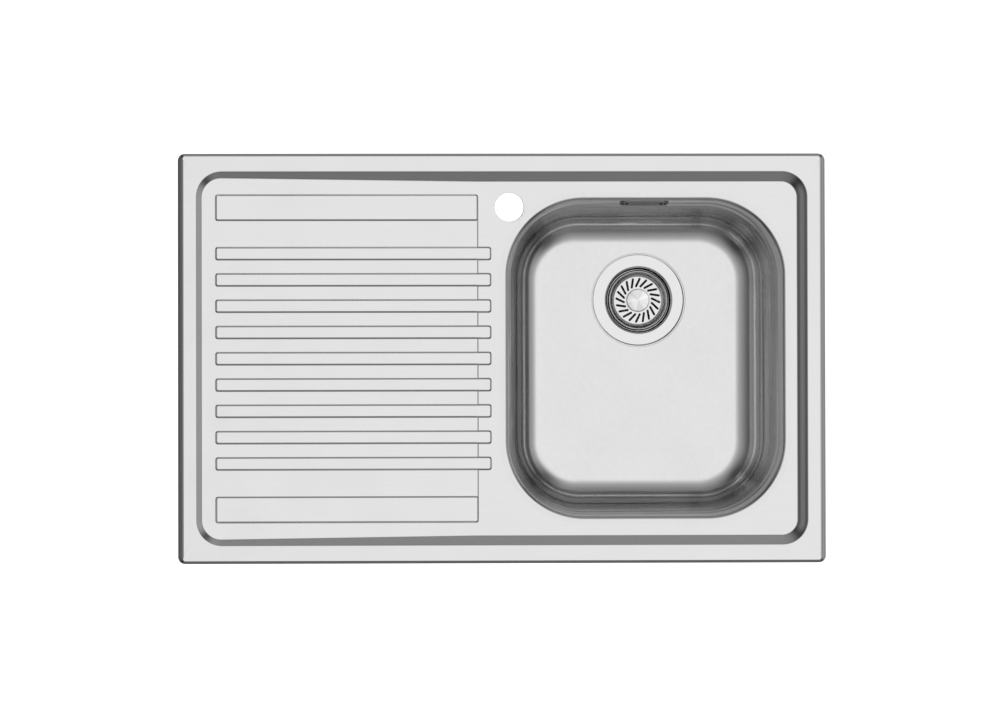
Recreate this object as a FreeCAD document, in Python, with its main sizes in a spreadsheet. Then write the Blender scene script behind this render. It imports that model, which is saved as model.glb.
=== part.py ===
import FreeCAD, Part
import math
import os
import re
import Sketcher
from FreeCAD import Placement, Rotation, Vector

# Inset kitchen sink with a drainboard on the left and one bowl on the right.
# Millimetres. The origin is the centre of the worktop cut-out, at the worktop's surface:
# +X runs to the bowl's side, +Y to the tap's side and +Z up.

doc = FreeCAD.newDocument("KitchenSink")
dims = doc.addObject("Spreadsheet::Sheet", "Dims")

sizes = {
    # pressed rim
    "rimLength": 790,
    "rimDepth": 500,
    "rimCorner": 9,
    "sheet": 0.8,
    "rimTop": 6,  # above the worktop
    "rimFoot": 1,  # lower edge of the turned-down rim, above the worktop
    "rimRoll": 4,
    "rimWidth": 22.5,
    "stepCorner": 31,
    "stepAngle": 48.5,  # from the vertical
    "stepRound": 3,
    "stepFootRound": 3,
    # deck inside the rim: it falls from the left to fallEnd, then lies level
    "deckDropLeft": 6,
    "deckDropRight": 10,
    "fallEnd": 32,  # left of the middle
    # drainboard
    "drainInset": 46,
    "drainLength": 320,
    "drainWidth": 400,
    "panelStep": 1.3,  # the drained panel's height over the deck at its right end
    "panelLead": 6,  # from where the panel leaves the deck to the ribs
    "panelShort": 1,  # the panel's right end, short of the bars' ends
    "ribPitch": 32,
    "ribWidth": 16,
    "ribLength": 336,
    "ribCount": 9,
    "ribHeight": 1.5,
    "ribAngle": 45,
    "ribCorner": 3,
    "barWidth": 32,
    # tap hole
    "tapRadius": 17.5,
    "tapX": 166,  # left of the bowl's middle
    "tapFromBack": 65.5,
    # bowl
    "bowlX": 220,  # from the rim's right edge to the bowl's middle
    "bowlLength": 336,
    "bowlWidth": 386,
    "bowlCorner": 93,
    "bowlDraft": 7,
    "bowlDepth": 150,
    "bowlFootRound": 35,
    "mouthRound": 5,
    "bowlFlange": 9.5,
    # waste, measured from the bowl's floor
    "wasteFromMiddle": 75,
    "wasteHoleRadius": 45,
    "recessDepth": 2,
    "flangeRadius": 57,
    "flangeGap": 1.3,
    "flangeThick": 1,
    "throatRadius": 40.5,
    "throatRound": 3,
    "throatFootRadius": 38.5,
    "ledgeDepth": 12,
    "ledgeRadius": 35,
    "cupDepth": 38,
    "drainHoleRadius": 5,
    "drainHoleCircle": 22,
    "drainHoleCount": 8,
    "sealThick": 1.5,
    "gasketInset": 1,
    "potRadius": 46,
    "potWall": 3,
    "potFlangeRadius": 54,
    "potDepth": 54,
    "funnelDepth": 66,
    "outletRadius": 23.9,  # 1 1/2 inch pipe thread
    "outletWall": 3.9,
    "outletLength": 26,
    "hubRadius": 9,
    "hubTop": 44,
    "hubLength": 12,
    "spokeWidth": 3,
    "spokeLength": 8,
    "spokeCount": 3,
    "insertRadius": 5.5,
    "screwRadius": 3,
    "screwHeadRadius": 7,
    "screwHeadThick": 2.5,
    "screwLength": 20,
    "screwSlot": 1.6,
    # basket strainer
    "basketRadius": 36.6,
    "basketTop": 3.2,  # below the flange's top
    "basketRim": 1.4,
    "basketDepth": 8.3,
    "basketFloorRadius": 30,
    "basketThick": 1,
    "hubHoleRadius": 5,
    "slotCount": 20,
    "slotInner": 16.3,
    "slotOuter": 28,
    "slotWidth": 2.8,
    "slotLean": 26,
    "knobRadius": 14.35,
    "knobNeck": 8,
    "knobNeckHeight": 4.5,
    "knobEdge": 2,
    "knobDome": 1.6,
    "stemRadius": 4,
    "stemSeat": 7,
    "stemSeatThick": 2.5,
    "stemDepth": 15,  # below the dish
    "stemCollar": 6.5,
    "stemCollarThick": 1.5,
    "studRadius": 3,
    "studLength": 7,
    "plugTravel": 6,
    "plugSealRadius": 37.9,
    "catchRadius": 9.5,
    "catchPlate": 2,
    # overflow
    "overflowDepth": 20,  # below the deck, to the plate's middle
    "plateLength": 59.5,
    "plateHeight": 28,
    "plateThick": 1.2,
    "plateCorner": 8,
    "plateSlotWidth": 3,
    "plateSlotHeight": 14,
    "plateSlotInner": 21,
    "plateSlotOuter": 26,
    "prongX": 12,
    "prongWidth": 6,
    "prongThick": 1.6,
    "prongLength": 11,
    "prongGap": 1,
    "wallSlotLength": 54,
    "wallSlotHeight": 16,
    "elbowWall": 2,
    "elbowDepth": 26,
    "elbowFlange": 4,
    "elbowCorner": 7,
    "spigotLength": 18,
    "pipeRadius": 10,
    "pipeWall": 1.5,
    "pipeBend": 30,
    "inletReach": 16,
    "inletDepth": 31,
    "nutWall": 3,
    "nutLength": 15,
    "nutRibCount": 12,
    "nutRib": 1.2,
    # under the sink
    "padLength": 190,
    "padWidth": 130,
    "padThick": 3,
    "padFromMiddle": 75,
    "padCorner": 12,
    "gasketOuter": 4.5,  # from the rim's edge
    "gasketInner": 10.5,
    "gasketCorner": 6,
    # fold-out clips
    "clipFromEdge": 16.5,
    "clipPlaceX": 230,
    "clipStudRadius": 4.5,
    "clipTop": 6,  # below the worktop's surface
    "clipPinRadius": 3,
    "clipHeadThick": 1.5,
    "clipWidth": 11,
    "clipPlate": 2,
    "clipHeight": 46,
    "clipHeel": 7,
    "clipReach": 12.5,
    "clipBend": 2.6,
    "clipCollarRadius": 4.5,
    "clipCollar": 4,
    "clipScrewRadius": 2.5,
    "clipScrewLength": 24,
    "clipScrewHeadRadius": 4.5,
    "clipScrewHead": 4,
    "clipScrewSlot": 1.2,
    "clipTipRadius": 1.9,
    "clipTipLength": 3.2,
    "clipFootRadius": 5.5,
    "clipFootHeight": 4,
    "clipFootGap": 0.4,
    # fits
    "runningFit": 0.05,
    "play": 0.1,
    "looseFit": 0.3,
    # of the modelling
    "overcut": 1,  # how far a cut starts or ends past a face, and a joint reaches into one
    "flatEnd": 0.05,  # straight stretch left between two round corners
    "dieMargin": 4,  # metal of a die below its lowest floor
}
for row, (name, size) in enumerate(sizes.items(), 1):
    dims.set(f"A{row}", name)
    dims.set(f"B{row}", str(size))
    dims.setAlias(f"B{row}", name)
doc.recompute()


# ---- formulas that more than one piece follows ----

halfLength = "(rimLength / 2)"
halfDepth = "(rimDepth / 2)"
troughX = "(rimLength / 2 - rimWidth)"
troughY = "(rimDepth / 2 - rimWidth)"
deckLeftZ = "(rimTop - deckDropLeft)"
deckZ = "(rimTop - deckDropRight)"
deckSlope = f"((deckDropRight - deckDropLeft) / ({troughX} - fallEnd))"
rimUnderZ = "(rimTop - sheet)"
ribLeft = f"(drainInset - {halfLength})"
panelLeft = f"({ribLeft} - panelLead)"
panelRight = f"({ribLeft} + drainLength - panelShort)"
panelLeftZ = f"({deckLeftZ} - {deckSlope} * ({panelLeft} + {troughX}))"
panelRightZ = f"({deckZ} + panelStep)"
panelFall = f"(({panelLeftZ} - {panelRightZ}) / ({panelRight} - {panelLeft}))"
bowlMiddle = f"({halfLength} - bowlX)"
floorZ = f"({deckZ} - bowlDepth)"
recessUnder = "(recessDepth + sheet)"
potTop = f"({recessUnder} + sealThick)"
dishFloor = "(basketTop + basketDepth)"
dishUnder = f"({dishFloor} + basketThick)"
wallRun = "(basketRadius - basketRim - basketFloorRadius)"
dishUnderRadius = f"(basketFloorRadius + basketThick * tan((90 deg - atan({wallRun} / basketDepth)) / 2))"
stemEnd = f"({dishUnder} + stemDepth)"
catchTop = f"({stemEnd} - looseFit - catchPlate)"
overflowWallY = "(bowlWidth / 2 - overflowDepth * tan(bowlDraft))"
armZ = "(-clipTop - play - clipHeight)"
footZ = f"({armZ} + clipPlate + clipCollar + clipFootGap)"


def linked(text):
    """The formula with each size's name turned into its cell."""
    return re.sub(r"[A-Za-z]\w*", lambda word: "Dims." + word[0] if word[0] in sizes else word[0], text)


def valueOf(text):
    return float(dims.evalExpression(linked(text)))


# ---- bodies, sketches and features ----


def newBody(label, x="0", y="0", z="0", turn=None):
    """A body whose place follows the sheet; turn gives its axis and angle of rotation."""
    body = doc.addObject("PartDesign::Body", label)
    body.Label = label
    if turn:
        body.Placement = Placement(Vector(), turn)
    for axis, place in zip("xyz", (x, y, z)):
        body.setExpression(f".Placement.Base.{axis}", linked(place))
    return body


def newSketch(body, name, role="XY_Plane", height="0"):
    sketch = body.newObject("Sketcher::SketchObject", f"{body.Name}_{name}")
    plane = next(feature for feature in body.Origin.OriginFeatures if feature.Role == role)
    sketch.AttachmentSupport = [(plane, "")]
    sketch.MapMode = "FlatFace"
    sketch.setExpression(".AttachmentOffset.Base.z", linked(height))
    return sketch


def hold(sketch, kind, where, size):
    """One constraint whose value follows a formula."""
    number = sketch.addConstraint(Sketcher.Constraint(kind, *where, valueOf(size)))
    sketch.setExpression(f"Constraints[{number}]", linked(size))


def addPath(sketch, points):
    """A closed outline of straight lines through the given corners."""
    first = sketch.GeometryCount
    corners = [Vector(valueOf(x), valueOf(y), 0) for x, y in points]
    for start, end in zip(corners, corners[1:] + corners[:1]):
        sketch.addGeometry(Part.LineSegment(start, end))
    for i, (x, y) in enumerate(points):
        following = first + (i + 1) % len(points)
        sketch.addConstraint(Sketcher.Constraint("Coincident", first + i, 2, following, 1))
        hold(sketch, "DistanceX", (-1, 1, first + i, 1), x)
        hold(sketch, "DistanceY", (-1, 1, first + i, 1), y)


def addOutline(sketch, left, right, front, back, radius):
    """A rectangle with round corners."""
    x0, x1, y0, y1, r = (valueOf(size) for size in (left, right, front, back, radius))
    first = sketch.GeometryCount
    quarter = math.pi / 2
    centres = [(x1 - r, y0 + r), (x1 - r, y1 - r), (x0 + r, y1 - r), (x0 + r, y0 + r)]
    arcs = []
    for i, (x, y) in enumerate(centres):
        circle = Part.Circle(Vector(x, y, 0), Vector(0, 0, 1), r)
        arcs.append(Part.ArcOfCircle(circle, (i - 1) * quarter, i * quarter))
    for arc, following in zip(arcs, arcs[1:] + arcs[:1]):
        sketch.addGeometry(arc)
        sketch.addGeometry(Part.LineSegment(arc.EndPoint, following.StartPoint))
    for i in range(8):
        sketch.addConstraint(Sketcher.Constraint("Tangent", first + i, 2, first + (i + 1) % 8, 1))
    for i, direction in ((1, "Vertical"), (3, "Horizontal"), (5, "Vertical"), (7, "Horizontal")):
        sketch.addConstraint(Sketcher.Constraint(direction, first + i))
    for i in (2, 4, 6):
        sketch.addConstraint(Sketcher.Constraint("Equal", first, first + i))
    hold(sketch, "Radius", (first,), radius)
    hold(sketch, "DistanceX", (-1, 1, first + 1, 1), right)
    hold(sketch, "DistanceY", (-1, 1, first + 3, 1), back)
    hold(sketch, "DistanceX", (-1, 1, first + 5, 1), left)
    hold(sketch, "DistanceY", (-1, 1, first + 7, 1), front)


def addCentredOutline(sketch, halfX, halfY, radius):
    addOutline(sketch, f"-({halfX})", halfX, f"-({halfY})", halfY, radius)


def addCircle(sketch, x, y, radius):
    circle = Part.Circle(Vector(valueOf(x), valueOf(y), 0), Vector(0, 0, 1), valueOf(radius))
    index = sketch.addGeometry(circle)
    hold(sketch, "DistanceX", (-1, 1, index, 3), x)
    hold(sketch, "DistanceY", (-1, 1, index, 3), y)
    hold(sketch, "Radius", (index,), radius)


def extrude(kind, body, sketch, length, taper=None, reverse=False, both=False):
    """A Pad or a Pocket. A pad follows the sketch's normal, a pocket goes against it."""
    feature = body.newObject(f"PartDesign::{kind}", f"{sketch.Name}_{kind.lower()}")
    feature.Profile = sketch
    feature.setExpression("Length", linked(length))
    if taper:
        feature.setExpression("TaperAngle", linked(taper))
    feature.Reversed = reverse
    feature.Midplane = both
    return feature


def revolve(body, name, points, kind="Revolution"):
    """A round piece about the body's Z axis, from its outline in radius and height."""
    sketch = newSketch(body, name, "XZ_Plane")
    addPath(sketch, points)
    feature = body.newObject(f"PartDesign::{kind}", f"{sketch.Name}_{kind.lower()}")
    feature.Profile = sketch
    feature.ReferenceAxis = (sketch, ["V_Axis"])
    feature.Angle = 360
    return feature


def repeatRound(body, feature, count):
    """Copies of a feature round the body's Z axis."""
    pattern = body.newObject("PartDesign::PolarPattern", f"{feature.Name}_round")
    pattern.Originals = [feature]
    axis = next(line for line in body.Origin.OriginFeatures if line.Role == "Z_Axis")
    pattern.Axis = (axis, [""])
    pattern.Angle = 360
    pattern.setExpression("Occurrences", linked(count))
    body.Tip = pattern
    return pattern


def samples(edge):
    first, last = edge.ParameterRange
    return [edge.valueAt(first + (last - first) * share) for share in (0, 0.25, 0.5, 0.75, 1)]


def roundEdges(body, base, radius, chosen):
    """A fillet on the edges whose sample points all pass the test."""
    doc.recompute()
    names = []
    for i, edge in enumerate(base.Shape.Edges, 1):
        if all(chosen(point) for point in samples(edge)):
            names.append(f"Edge{i}")
    fillet = body.newObject("PartDesign::Fillet", f"{base.Name}_round")
    fillet.Base = (base, names)
    fillet.setExpression("Radius", linked(radius))
    return fillet


tolerance = 0.01


def near(value, text):
    return abs(value - valueOf(text)) < tolerance


def within(point, halfX, halfY):
    """Whether a point lies inside a rectangle about the body's Z axis."""
    return abs(point.x) < valueOf(halfX) and abs(point.y) < valueOf(halfY)


def onCircle(point, radius, z):
    """Whether a point lies on a level circle about the body's Z axis."""
    return near(point.z, z) and near(Vector(point.x, point.y, 0).Length, radius)


# ---- pressed rim, step and drainboard ----


def deckZAt(x):
    """Height of the deck's top: it falls to the right and then lies level."""
    fallen = valueOf(deckLeftZ) - valueOf(deckSlope) * (x + valueOf(troughX))
    return max(fallen, valueOf(deckZ))


def deckDie(name, inset):
    """The solid under the pressed surface, lowered by inset square to the metal."""
    body = newBody(name)
    top = f"rimTop - {inset}"
    blockFoot = "(deckDropRight + dieMargin)"
    blockMargin = "(rimWidth / 3)"
    lean = f"({inset} / cos(stepAngle))"
    innerX = f"({troughX} + {lean})"
    innerY = f"({troughY} + {lean})"

    outline = newSketch(body, "rim", height=f"rimFoot - {inset}")
    addCentredOutline(outline, f"{halfLength} - {inset}", f"{halfDepth} - {inset}", f"rimCorner - {inset}")
    rim = extrude("Pad", body, outline, "rimTop - rimFoot")
    roundEdges(body, rim, f"rimRoll - {inset}", lambda p: near(p.z, top))

    block = newSketch(body, "block", height=f"-{blockFoot} - {inset}")
    blockCorner = f"stepCorner + {lean} + {blockMargin}"
    addCentredOutline(block, f"{innerX} + {blockMargin}", f"{innerY} + {blockMargin}", blockCorner)
    extrude("Pad", body, block, f"{blockFoot} + (rimTop + rimFoot) / 2")

    trough = newSketch(body, "trough", height="rimTop")
    addCentredOutline(trough, innerX, innerY, f"stepCorner + {lean}")
    extrude("Pocket", body, trough, f"rimTop + {blockFoot} - overcut", "-stepAngle")

    # the floor is put back as a wedge whose hidden ends lie inside the block
    hidden = "(deckDropLeft * tan(stepAngle) * 3 / 4)"
    floorX = f"({troughX} - {hidden})"
    floor = newSketch(body, "floor", "XZ_Plane")
    addPath(floor, [
        (f"-{floorX}", f"{deckLeftZ} - {deckSlope} * {hidden} - {inset}"),
        ("-fallEnd", f"{deckZ} - {inset}"),
        (floorX, f"{deckZ} - {inset}"),
        (floorX, f"-{blockFoot}"),
        (f"-{floorX}", f"-{blockFoot}"),
    ])
    wedge = extrude("Pad", body, floor, f"2 * ({troughY} - {hidden})", both=True)
    lowered = valueOf(inset)

    def onFoot(point):
        onKink = near(point.x, "-fallEnd") and near(point.y, "0")
        return abs(point.z - deckZAt(point.x) + lowered) < tolerance and not onKink

    foot = roundEdges(body, wedge, f"stepFootRound + {inset}", onFoot)
    roundEdges(body, foot, f"stepRound - {inset}", lambda p: (
        near(p.z, top) and within(p, f"{halfLength} - rimWidth / 2", f"{halfDepth} - rimWidth / 2")
    ))

    # drained panel: it leaves the deck at its left end and ends in a small step; its sides lie under the bars
    panel = newSketch(body, "panel", "XZ_Plane")
    addPath(panel, [
        (f"{panelLeft} - panelLead", f"{panelLeftZ} + {panelFall} * panelLead - {inset}"),
        (f"{panelRight} - {inset}", f"{panelRightZ} - {inset}"),
        (f"{panelRight} - {inset}", f"{deckZ} - panelStep - {inset}"),
        (f"{panelLeft} - panelLead", f"{deckZ} - panelStep - {inset}"),
    ])
    extrude("Pad", body, panel, f"drainWidth - barWidth - 2 * {inset}", both=True)

    # ribs and bars rise square to the panel, from a root inside the metal
    root = "(2 * panelStep)"
    spread = f"({root} * tan(ribAngle) - {inset} * tan((90 - ribAngle) / 2))"

    def panelSketch(label):
        sketch = newSketch(body, label, height=f"{panelLeftZ} - {panelFall} * panelLead - {root} - {inset}")
        sketch.AttachmentOffset = Placement(Vector(), Rotation(Vector(0, 1, 0), 1))
        sketch.setExpression(".AttachmentOffset.Base.x", linked(ribLeft))
        sketch.setExpression(".AttachmentOffset.Rotation.Angle", linked(f"atan({panelFall})"))
        return sketch

    ribs = panelSketch("rib")
    firstRib = "(-ribPitch * (ribCount - 1) / 2)"
    addOutline(ribs, f"-{spread}", f"ribLength + {spread}", f"{firstRib} - ribWidth / 2 - {spread}",
               f"{firstRib} + ribWidth / 2 + {spread}", f"ribCorner + {spread}")
    rib = extrude("Pad", body, ribs, f"{root} + ribHeight", "-ribAngle")
    doc.recompute()
    rows = body.newObject("PartDesign::LinearPattern", f"{name}_ribs")
    rows.Originals = [rib]
    rows.Direction = (ribs, ["V_Axis"])
    rows.setExpression("Length", linked("ribPitch * (ribCount - 1)"))
    rows.setExpression("Occurrences", linked("ribCount"))
    body.Tip = rows

    bars = panelSketch("bars")
    for side in ("-1", "1"):
        middle = f"({side} * (drainWidth - barWidth) / 2)"
        addOutline(bars, f"-{spread}", f"drainLength + {spread}", f"{middle} - barWidth / 2 - {spread}",
                   f"{middle} + barWidth / 2 + {spread}", f"ribCorner + {spread}")
    extrude("Pad", body, bars, f"{root} + ribHeight", "-ribAngle")
    return body


upperDie = deckDie("deck_upper_die", "0")
lowerDie = deckDie("deck_lower_die", "sheet")

# the tap hole and the bowl's hole go through the upper die only, so they go through the sheet
holes = newSketch(upperDie, "holes", height="rimTop")
addCircle(holes, f"{bowlMiddle} - tapX", f"{halfDepth} - tapFromBack", "tapRadius")
addOutline(holes, f"{bowlMiddle} - bowlLength / 2 - bowlFlange", f"{bowlMiddle} + bowlLength / 2 + bowlFlange",
           "-bowlWidth / 2 - bowlFlange", "bowlWidth / 2 + bowlFlange", "bowlCorner + bowlFlange")
extrude("Pocket", upperDie, holes, "3 * (rimTop + deckDropRight)")

sinkDeck = doc.addObject("Part::Cut", "sink_deck")
sinkDeck.Label = "sink_deck"
sinkDeck.Base = upperDie
sinkDeck.Tool = lowerDie


# ---- drawn bowl, butt-welded into the deck's hole ----


def makeBowl():
    body = newBody("sink_bowl", x=bowlMiddle, z=deckZ)
    halfX = "(bowlLength / 2)"
    halfY = "(bowlWidth / 2)"
    lean = "(sheet / cos(bowlDraft))"

    flange = newSketch(body, "flange", height="-sheet")
    addCentredOutline(flange, f"{halfX} + bowlFlange", f"{halfY} + bowlFlange", "bowlCorner + bowlFlange")
    extrude("Pad", body, flange, "sheet")
    shell = newSketch(body, "shell")
    addCentredOutline(shell, f"{halfX} + {lean}", f"{halfY} + {lean}", f"bowlCorner + {lean}")
    extrude("Pad", body, shell, "bowlDepth + sheet", "-bowlDraft", reverse=True)
    hollow = newSketch(body, "hollow")
    addCentredOutline(hollow, halfX, halfY, "bowlCorner")
    inside = extrude("Pocket", body, hollow, "bowlDepth", "-bowlDraft")

    def byMouth(point):
        return within(point, f"{halfX} + bowlFlange / 2", f"{halfY} + bowlFlange / 2")

    foot = roundEdges(body, inside, "bowlFootRound", lambda p: near(p.z, "-bowlDepth"))
    outerFoot = roundEdges(body, foot, "bowlFootRound + sheet", lambda p: near(p.z, "-bowlDepth - sheet"))
    under = roundEdges(body, outerFoot, "mouthRound - sheet", lambda p: near(p.z, "-sheet") and byMouth(p))
    roundEdges(body, under, "mouthRound", lambda p: near(p.z, "0") and byMouth(p))
    doc.recompute()

    # a shallow recess takes the waste's flange, flush with the floor
    recessRadius = "(flangeRadius + flangeGap)"
    boss = newSketch(body, "recess_boss", height=f"-bowlDepth - {recessUnder}")
    addCircle(boss, "0", "wasteFromMiddle", f"{recessRadius} + sheet")
    extrude("Pad", body, boss, recessUnder)
    recess = newSketch(body, "recess", height="-bowlDepth")
    addCircle(recess, "0", "wasteFromMiddle", recessRadius)
    extrude("Pocket", body, recess, "recessDepth")
    wasteHole = newSketch(body, "waste_hole", height="-bowlDepth")
    addCircle(wasteHole, "0", "wasteFromMiddle", "wasteHoleRadius")
    extrude("Pocket", body, wasteHole, f"2 * {recessUnder}")

    # the overflow's slot is cut backwards through the back wall only
    slot = newSketch(body, "overflow_slot", "XZ_Plane", height="-bowlWidth / 3")
    addOutline(slot, "-wallSlotLength / 2", "wallSlotLength / 2", "-overflowDepth - wallSlotHeight / 2",
               "-overflowDepth + wallSlotHeight / 2", "wallSlotHeight / 2 - flatEnd")
    extrude("Pocket", body, slot, "bowlWidth / 3")


makeBowl()


# ---- seal and damping under the sink ----


def makeRimGasket():
    body = newBody("rim_gasket")
    ring = newSketch(body, "ring")
    addCentredOutline(ring, f"{halfLength} - gasketOuter", f"{halfDepth} - gasketOuter", "gasketCorner")
    addCentredOutline(ring, f"{halfLength} - gasketInner", f"{halfDepth} - gasketInner", "gasketCorner / 3")
    extrude("Pad", body, ring, rimUnderZ)


def makeSoundPad():
    body = newBody("bowl_sound_pad", x=bowlMiddle, y="-padFromMiddle", z=f"{floorZ} - sheet")
    outline = newSketch(body, "outline")
    addCentredOutline(outline, "padLength / 2", "padWidth / 2", "padCorner")
    slab = extrude("Pad", body, outline, "padThick", reverse=True)
    roundEdges(body, slab, "padThick / 3", lambda p: near(p.z, "-padThick"))


makeRimGasket()
makeSoundPad()


# ---- waste: flange and strainer cup above, moulded pot below, one screw through both ----


def newWasteBody(label):
    """A body whose origin is on the waste's axis at the bowl floor's top surface."""
    return newBody(label, x=bowlMiddle, y="wasteFromMiddle", z=floorZ)


def makeWasteFlange():
    body = newWasteBody("waste_flange")
    cup = revolve(body, "cup", [
        ("flangeRadius", "-flangeThick"),
        ("flangeRadius", "0"),
        ("throatRadius", "0"),
        ("throatFootRadius", "-ledgeDepth"),
        ("ledgeRadius", "-ledgeDepth"),
        ("ledgeRadius", "-cupDepth"),
        ("screwRadius + looseFit", "-cupDepth"),
        ("screwRadius + looseFit", "-cupDepth - flangeThick"),
        ("ledgeRadius + flangeThick", "-cupDepth - flangeThick"),
        ("ledgeRadius + flangeThick", "-ledgeDepth - flangeThick"),
        ("throatFootRadius + flangeThick", "-ledgeDepth - flangeThick"),
        ("throatRadius + flangeThick", "-flangeThick"),
    ])
    lip = roundEdges(body, cup, "throatRound", lambda p: onCircle(p, "throatRadius", "0"))
    under = roundEdges(body, lip, "throatRound - flangeThick", lambda p: (
        onCircle(p, "throatRadius + flangeThick", "-flangeThick")
    ))
    roundEdges(body, under, "flangeThick / 2", lambda p: onCircle(p, "flangeRadius", "0"))
    doc.recompute()
    hole = newSketch(body, "drain_hole", height="-cupDepth + overcut")
    addCircle(hole, "drainHoleCircle", "0", "drainHoleRadius")
    cut = extrude("Pocket", body, hole, "flangeThick + 2 * overcut")
    doc.recompute()
    repeatRound(body, cut, "drainHoleCount")


def makeWasteGaskets():
    upper = newWasteBody("waste_flange_gasket")
    revolve(upper, "ring", [
        ("wasteHoleRadius + gasketInset", "-recessDepth"),
        ("flangeRadius - gasketInset", "-recessDepth"),
        ("flangeRadius - gasketInset", "-flangeThick"),
        ("wasteHoleRadius + gasketInset", "-flangeThick"),
    ])
    lower = newWasteBody("waste_body_gasket")
    revolve(lower, "ring", [
        ("wasteHoleRadius + gasketInset", f"-{potTop}"),
        ("potFlangeRadius", f"-{potTop}"),
        ("potFlangeRadius", f"-{recessUnder}"),
        ("wasteHoleRadius + gasketInset", f"-{recessUnder}"),
    ])


def makeWasteBody():
    body = newWasteBody("waste_body")
    revolve(body, "pot", [
        ("potRadius - potWall", f"-{potTop}"),
        ("potFlangeRadius", f"-{potTop}"),
        ("potFlangeRadius", f"-{potTop} - potWall"),
        ("potRadius", f"-{potTop} - potWall"),
        ("potRadius", "-potDepth"),
        ("outletRadius", "-funnelDepth"),
        ("outletRadius", "-funnelDepth - outletLength"),
        ("outletRadius - outletWall", "-funnelDepth - outletLength"),
        ("outletRadius - outletWall", "-funnelDepth + potWall / 2"),
        ("potRadius - potWall", "-potDepth + potWall / 2"),
    ])
    # a hub on three spokes carries the brass insert
    revolve(body, "hub", [
        ("insertRadius", "-hubTop - hubLength"),
        ("hubRadius", "-hubTop - hubLength"),
        ("hubRadius", "-hubTop"),
        ("insertRadius", "-hubTop"),
    ])
    spoke = newSketch(body, "spoke", height="-hubTop")
    addPath(spoke, [
        ("hubRadius - overcut", "-spokeWidth / 2"),
        ("potRadius - potWall / 2", "-spokeWidth / 2"),
        ("potRadius - potWall / 2", "spokeWidth / 2"),
        ("hubRadius - overcut", "spokeWidth / 2"),
    ])
    arm = extrude("Pad", body, spoke, "spokeLength", reverse=True)
    doc.recompute()
    repeatRound(body, arm, "spokeCount")
    doc.recompute()

    # the overflow's inlet faces the back
    spigot = newSketch(body, "inlet", "XZ_Plane", height="-(potRadius + inletReach)")
    addCircle(spigot, "0", "-inletDepth", "pipeRadius")
    extrude("Pad", body, spigot, "inletReach + potWall / 2")
    bore = newSketch(body, "inlet_bore", "XZ_Plane", height="-(potRadius + inletReach + overcut)")
    addCircle(bore, "0", "-inletDepth", "pipeRadius - pipeWall")
    extrude("Pocket", body, bore, "inletReach + 2 * potWall + overcut", reverse=True)


def makeWasteScrew():
    insert = newWasteBody("waste_insert")
    revolve(insert, "sleeve", [
        ("screwRadius + runningFit", "-hubTop - hubLength"),
        ("insertRadius", "-hubTop - hubLength"),
        ("insertRadius", "-hubTop"),
        ("screwRadius + runningFit", "-hubTop"),
    ])
    body = newWasteBody("waste_screw")
    pin = revolve(body, "pin", [
        ("0", "-cupDepth - screwLength"),
        ("screwRadius", "-cupDepth - screwLength"),
        ("screwRadius", "-cupDepth"),
        ("screwHeadRadius", "-cupDepth"),
        ("screwHeadRadius", "-cupDepth + screwHeadThick"),
        ("0", "-cupDepth + screwHeadThick"),
    ])
    roundEdges(body, pin, "screwHeadThick / 3", lambda p: (
        onCircle(p, "screwHeadRadius", "-cupDepth + screwHeadThick")
    ))
    slot = newSketch(body, "slot", height="-cupDepth + screwHeadThick")
    addPath(slot, [
        ("-screwHeadRadius - overcut", "-screwSlot / 2"),
        ("screwHeadRadius + overcut", "-screwSlot / 2"),
        ("screwHeadRadius + overcut", "screwSlot / 2"),
        ("-screwHeadRadius - overcut", "screwSlot / 2"),
    ])
    extrude("Pocket", body, slot, "screwHeadThick / 2")


makeWasteFlange()
makeWasteGaskets()
makeWasteBody()
makeWasteScrew()


# ---- lift-out basket with its plug seal, shown open ----


def makeBasketDish():
    body = newWasteBody("basket_dish")
    bend = f"({dishUnderRadius} - basketFloorRadius)"
    cone = revolve(body, "dish", [
        ("basketRadius", "-basketTop - basketThick"),
        ("basketRadius", "-basketTop"),
        ("basketRadius - basketRim", "-basketTop"),
        ("basketFloorRadius", f"-{dishFloor}"),
        ("hubHoleRadius", f"-{dishFloor}"),
        ("hubHoleRadius", f"-{dishUnder}"),
        (dishUnderRadius, f"-{dishUnder}"),
        (f"basketRadius - basketRim + {bend}", "-basketTop - basketThick"),
    ])
    inner = roundEdges(body, cone, "3 * basketThick", lambda p: (
        onCircle(p, "basketFloorRadius", f"-{dishFloor}")
    ))
    outer = roundEdges(body, inner, "4 * basketThick", lambda p: (
        onCircle(p, dishUnderRadius, f"-{dishUnder}")
    ))
    roundEdges(body, outer, "basketThick / 3", lambda p: near(p.z, "-basketTop"))
    doc.recompute()

    # each slot leans from the radius, clockwise on its way out
    slot = newSketch(body, "slot")
    slot.AttachmentOffset = Placement(Vector(), Rotation(Vector(0, 0, 1), 1))
    slot.setExpression(".AttachmentOffset.Base.x", linked("(slotInner + slotOuter) / 2"))
    slot.setExpression(".AttachmentOffset.Base.z", linked(f"overcut - {dishFloor}"))
    slot.setExpression(".AttachmentOffset.Rotation.Angle", linked("-slotLean"))
    halfSlot = "((slotOuter - slotInner) / 2 / cos(slotLean))"
    addCentredOutline(slot, halfSlot, "slotWidth / 2", "slotWidth / 2 - flatEnd")
    cut = extrude("Pocket", body, slot, "basketThick + 2 * overcut")
    doc.recompute()
    repeatRound(body, cut, "slotCount")


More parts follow.
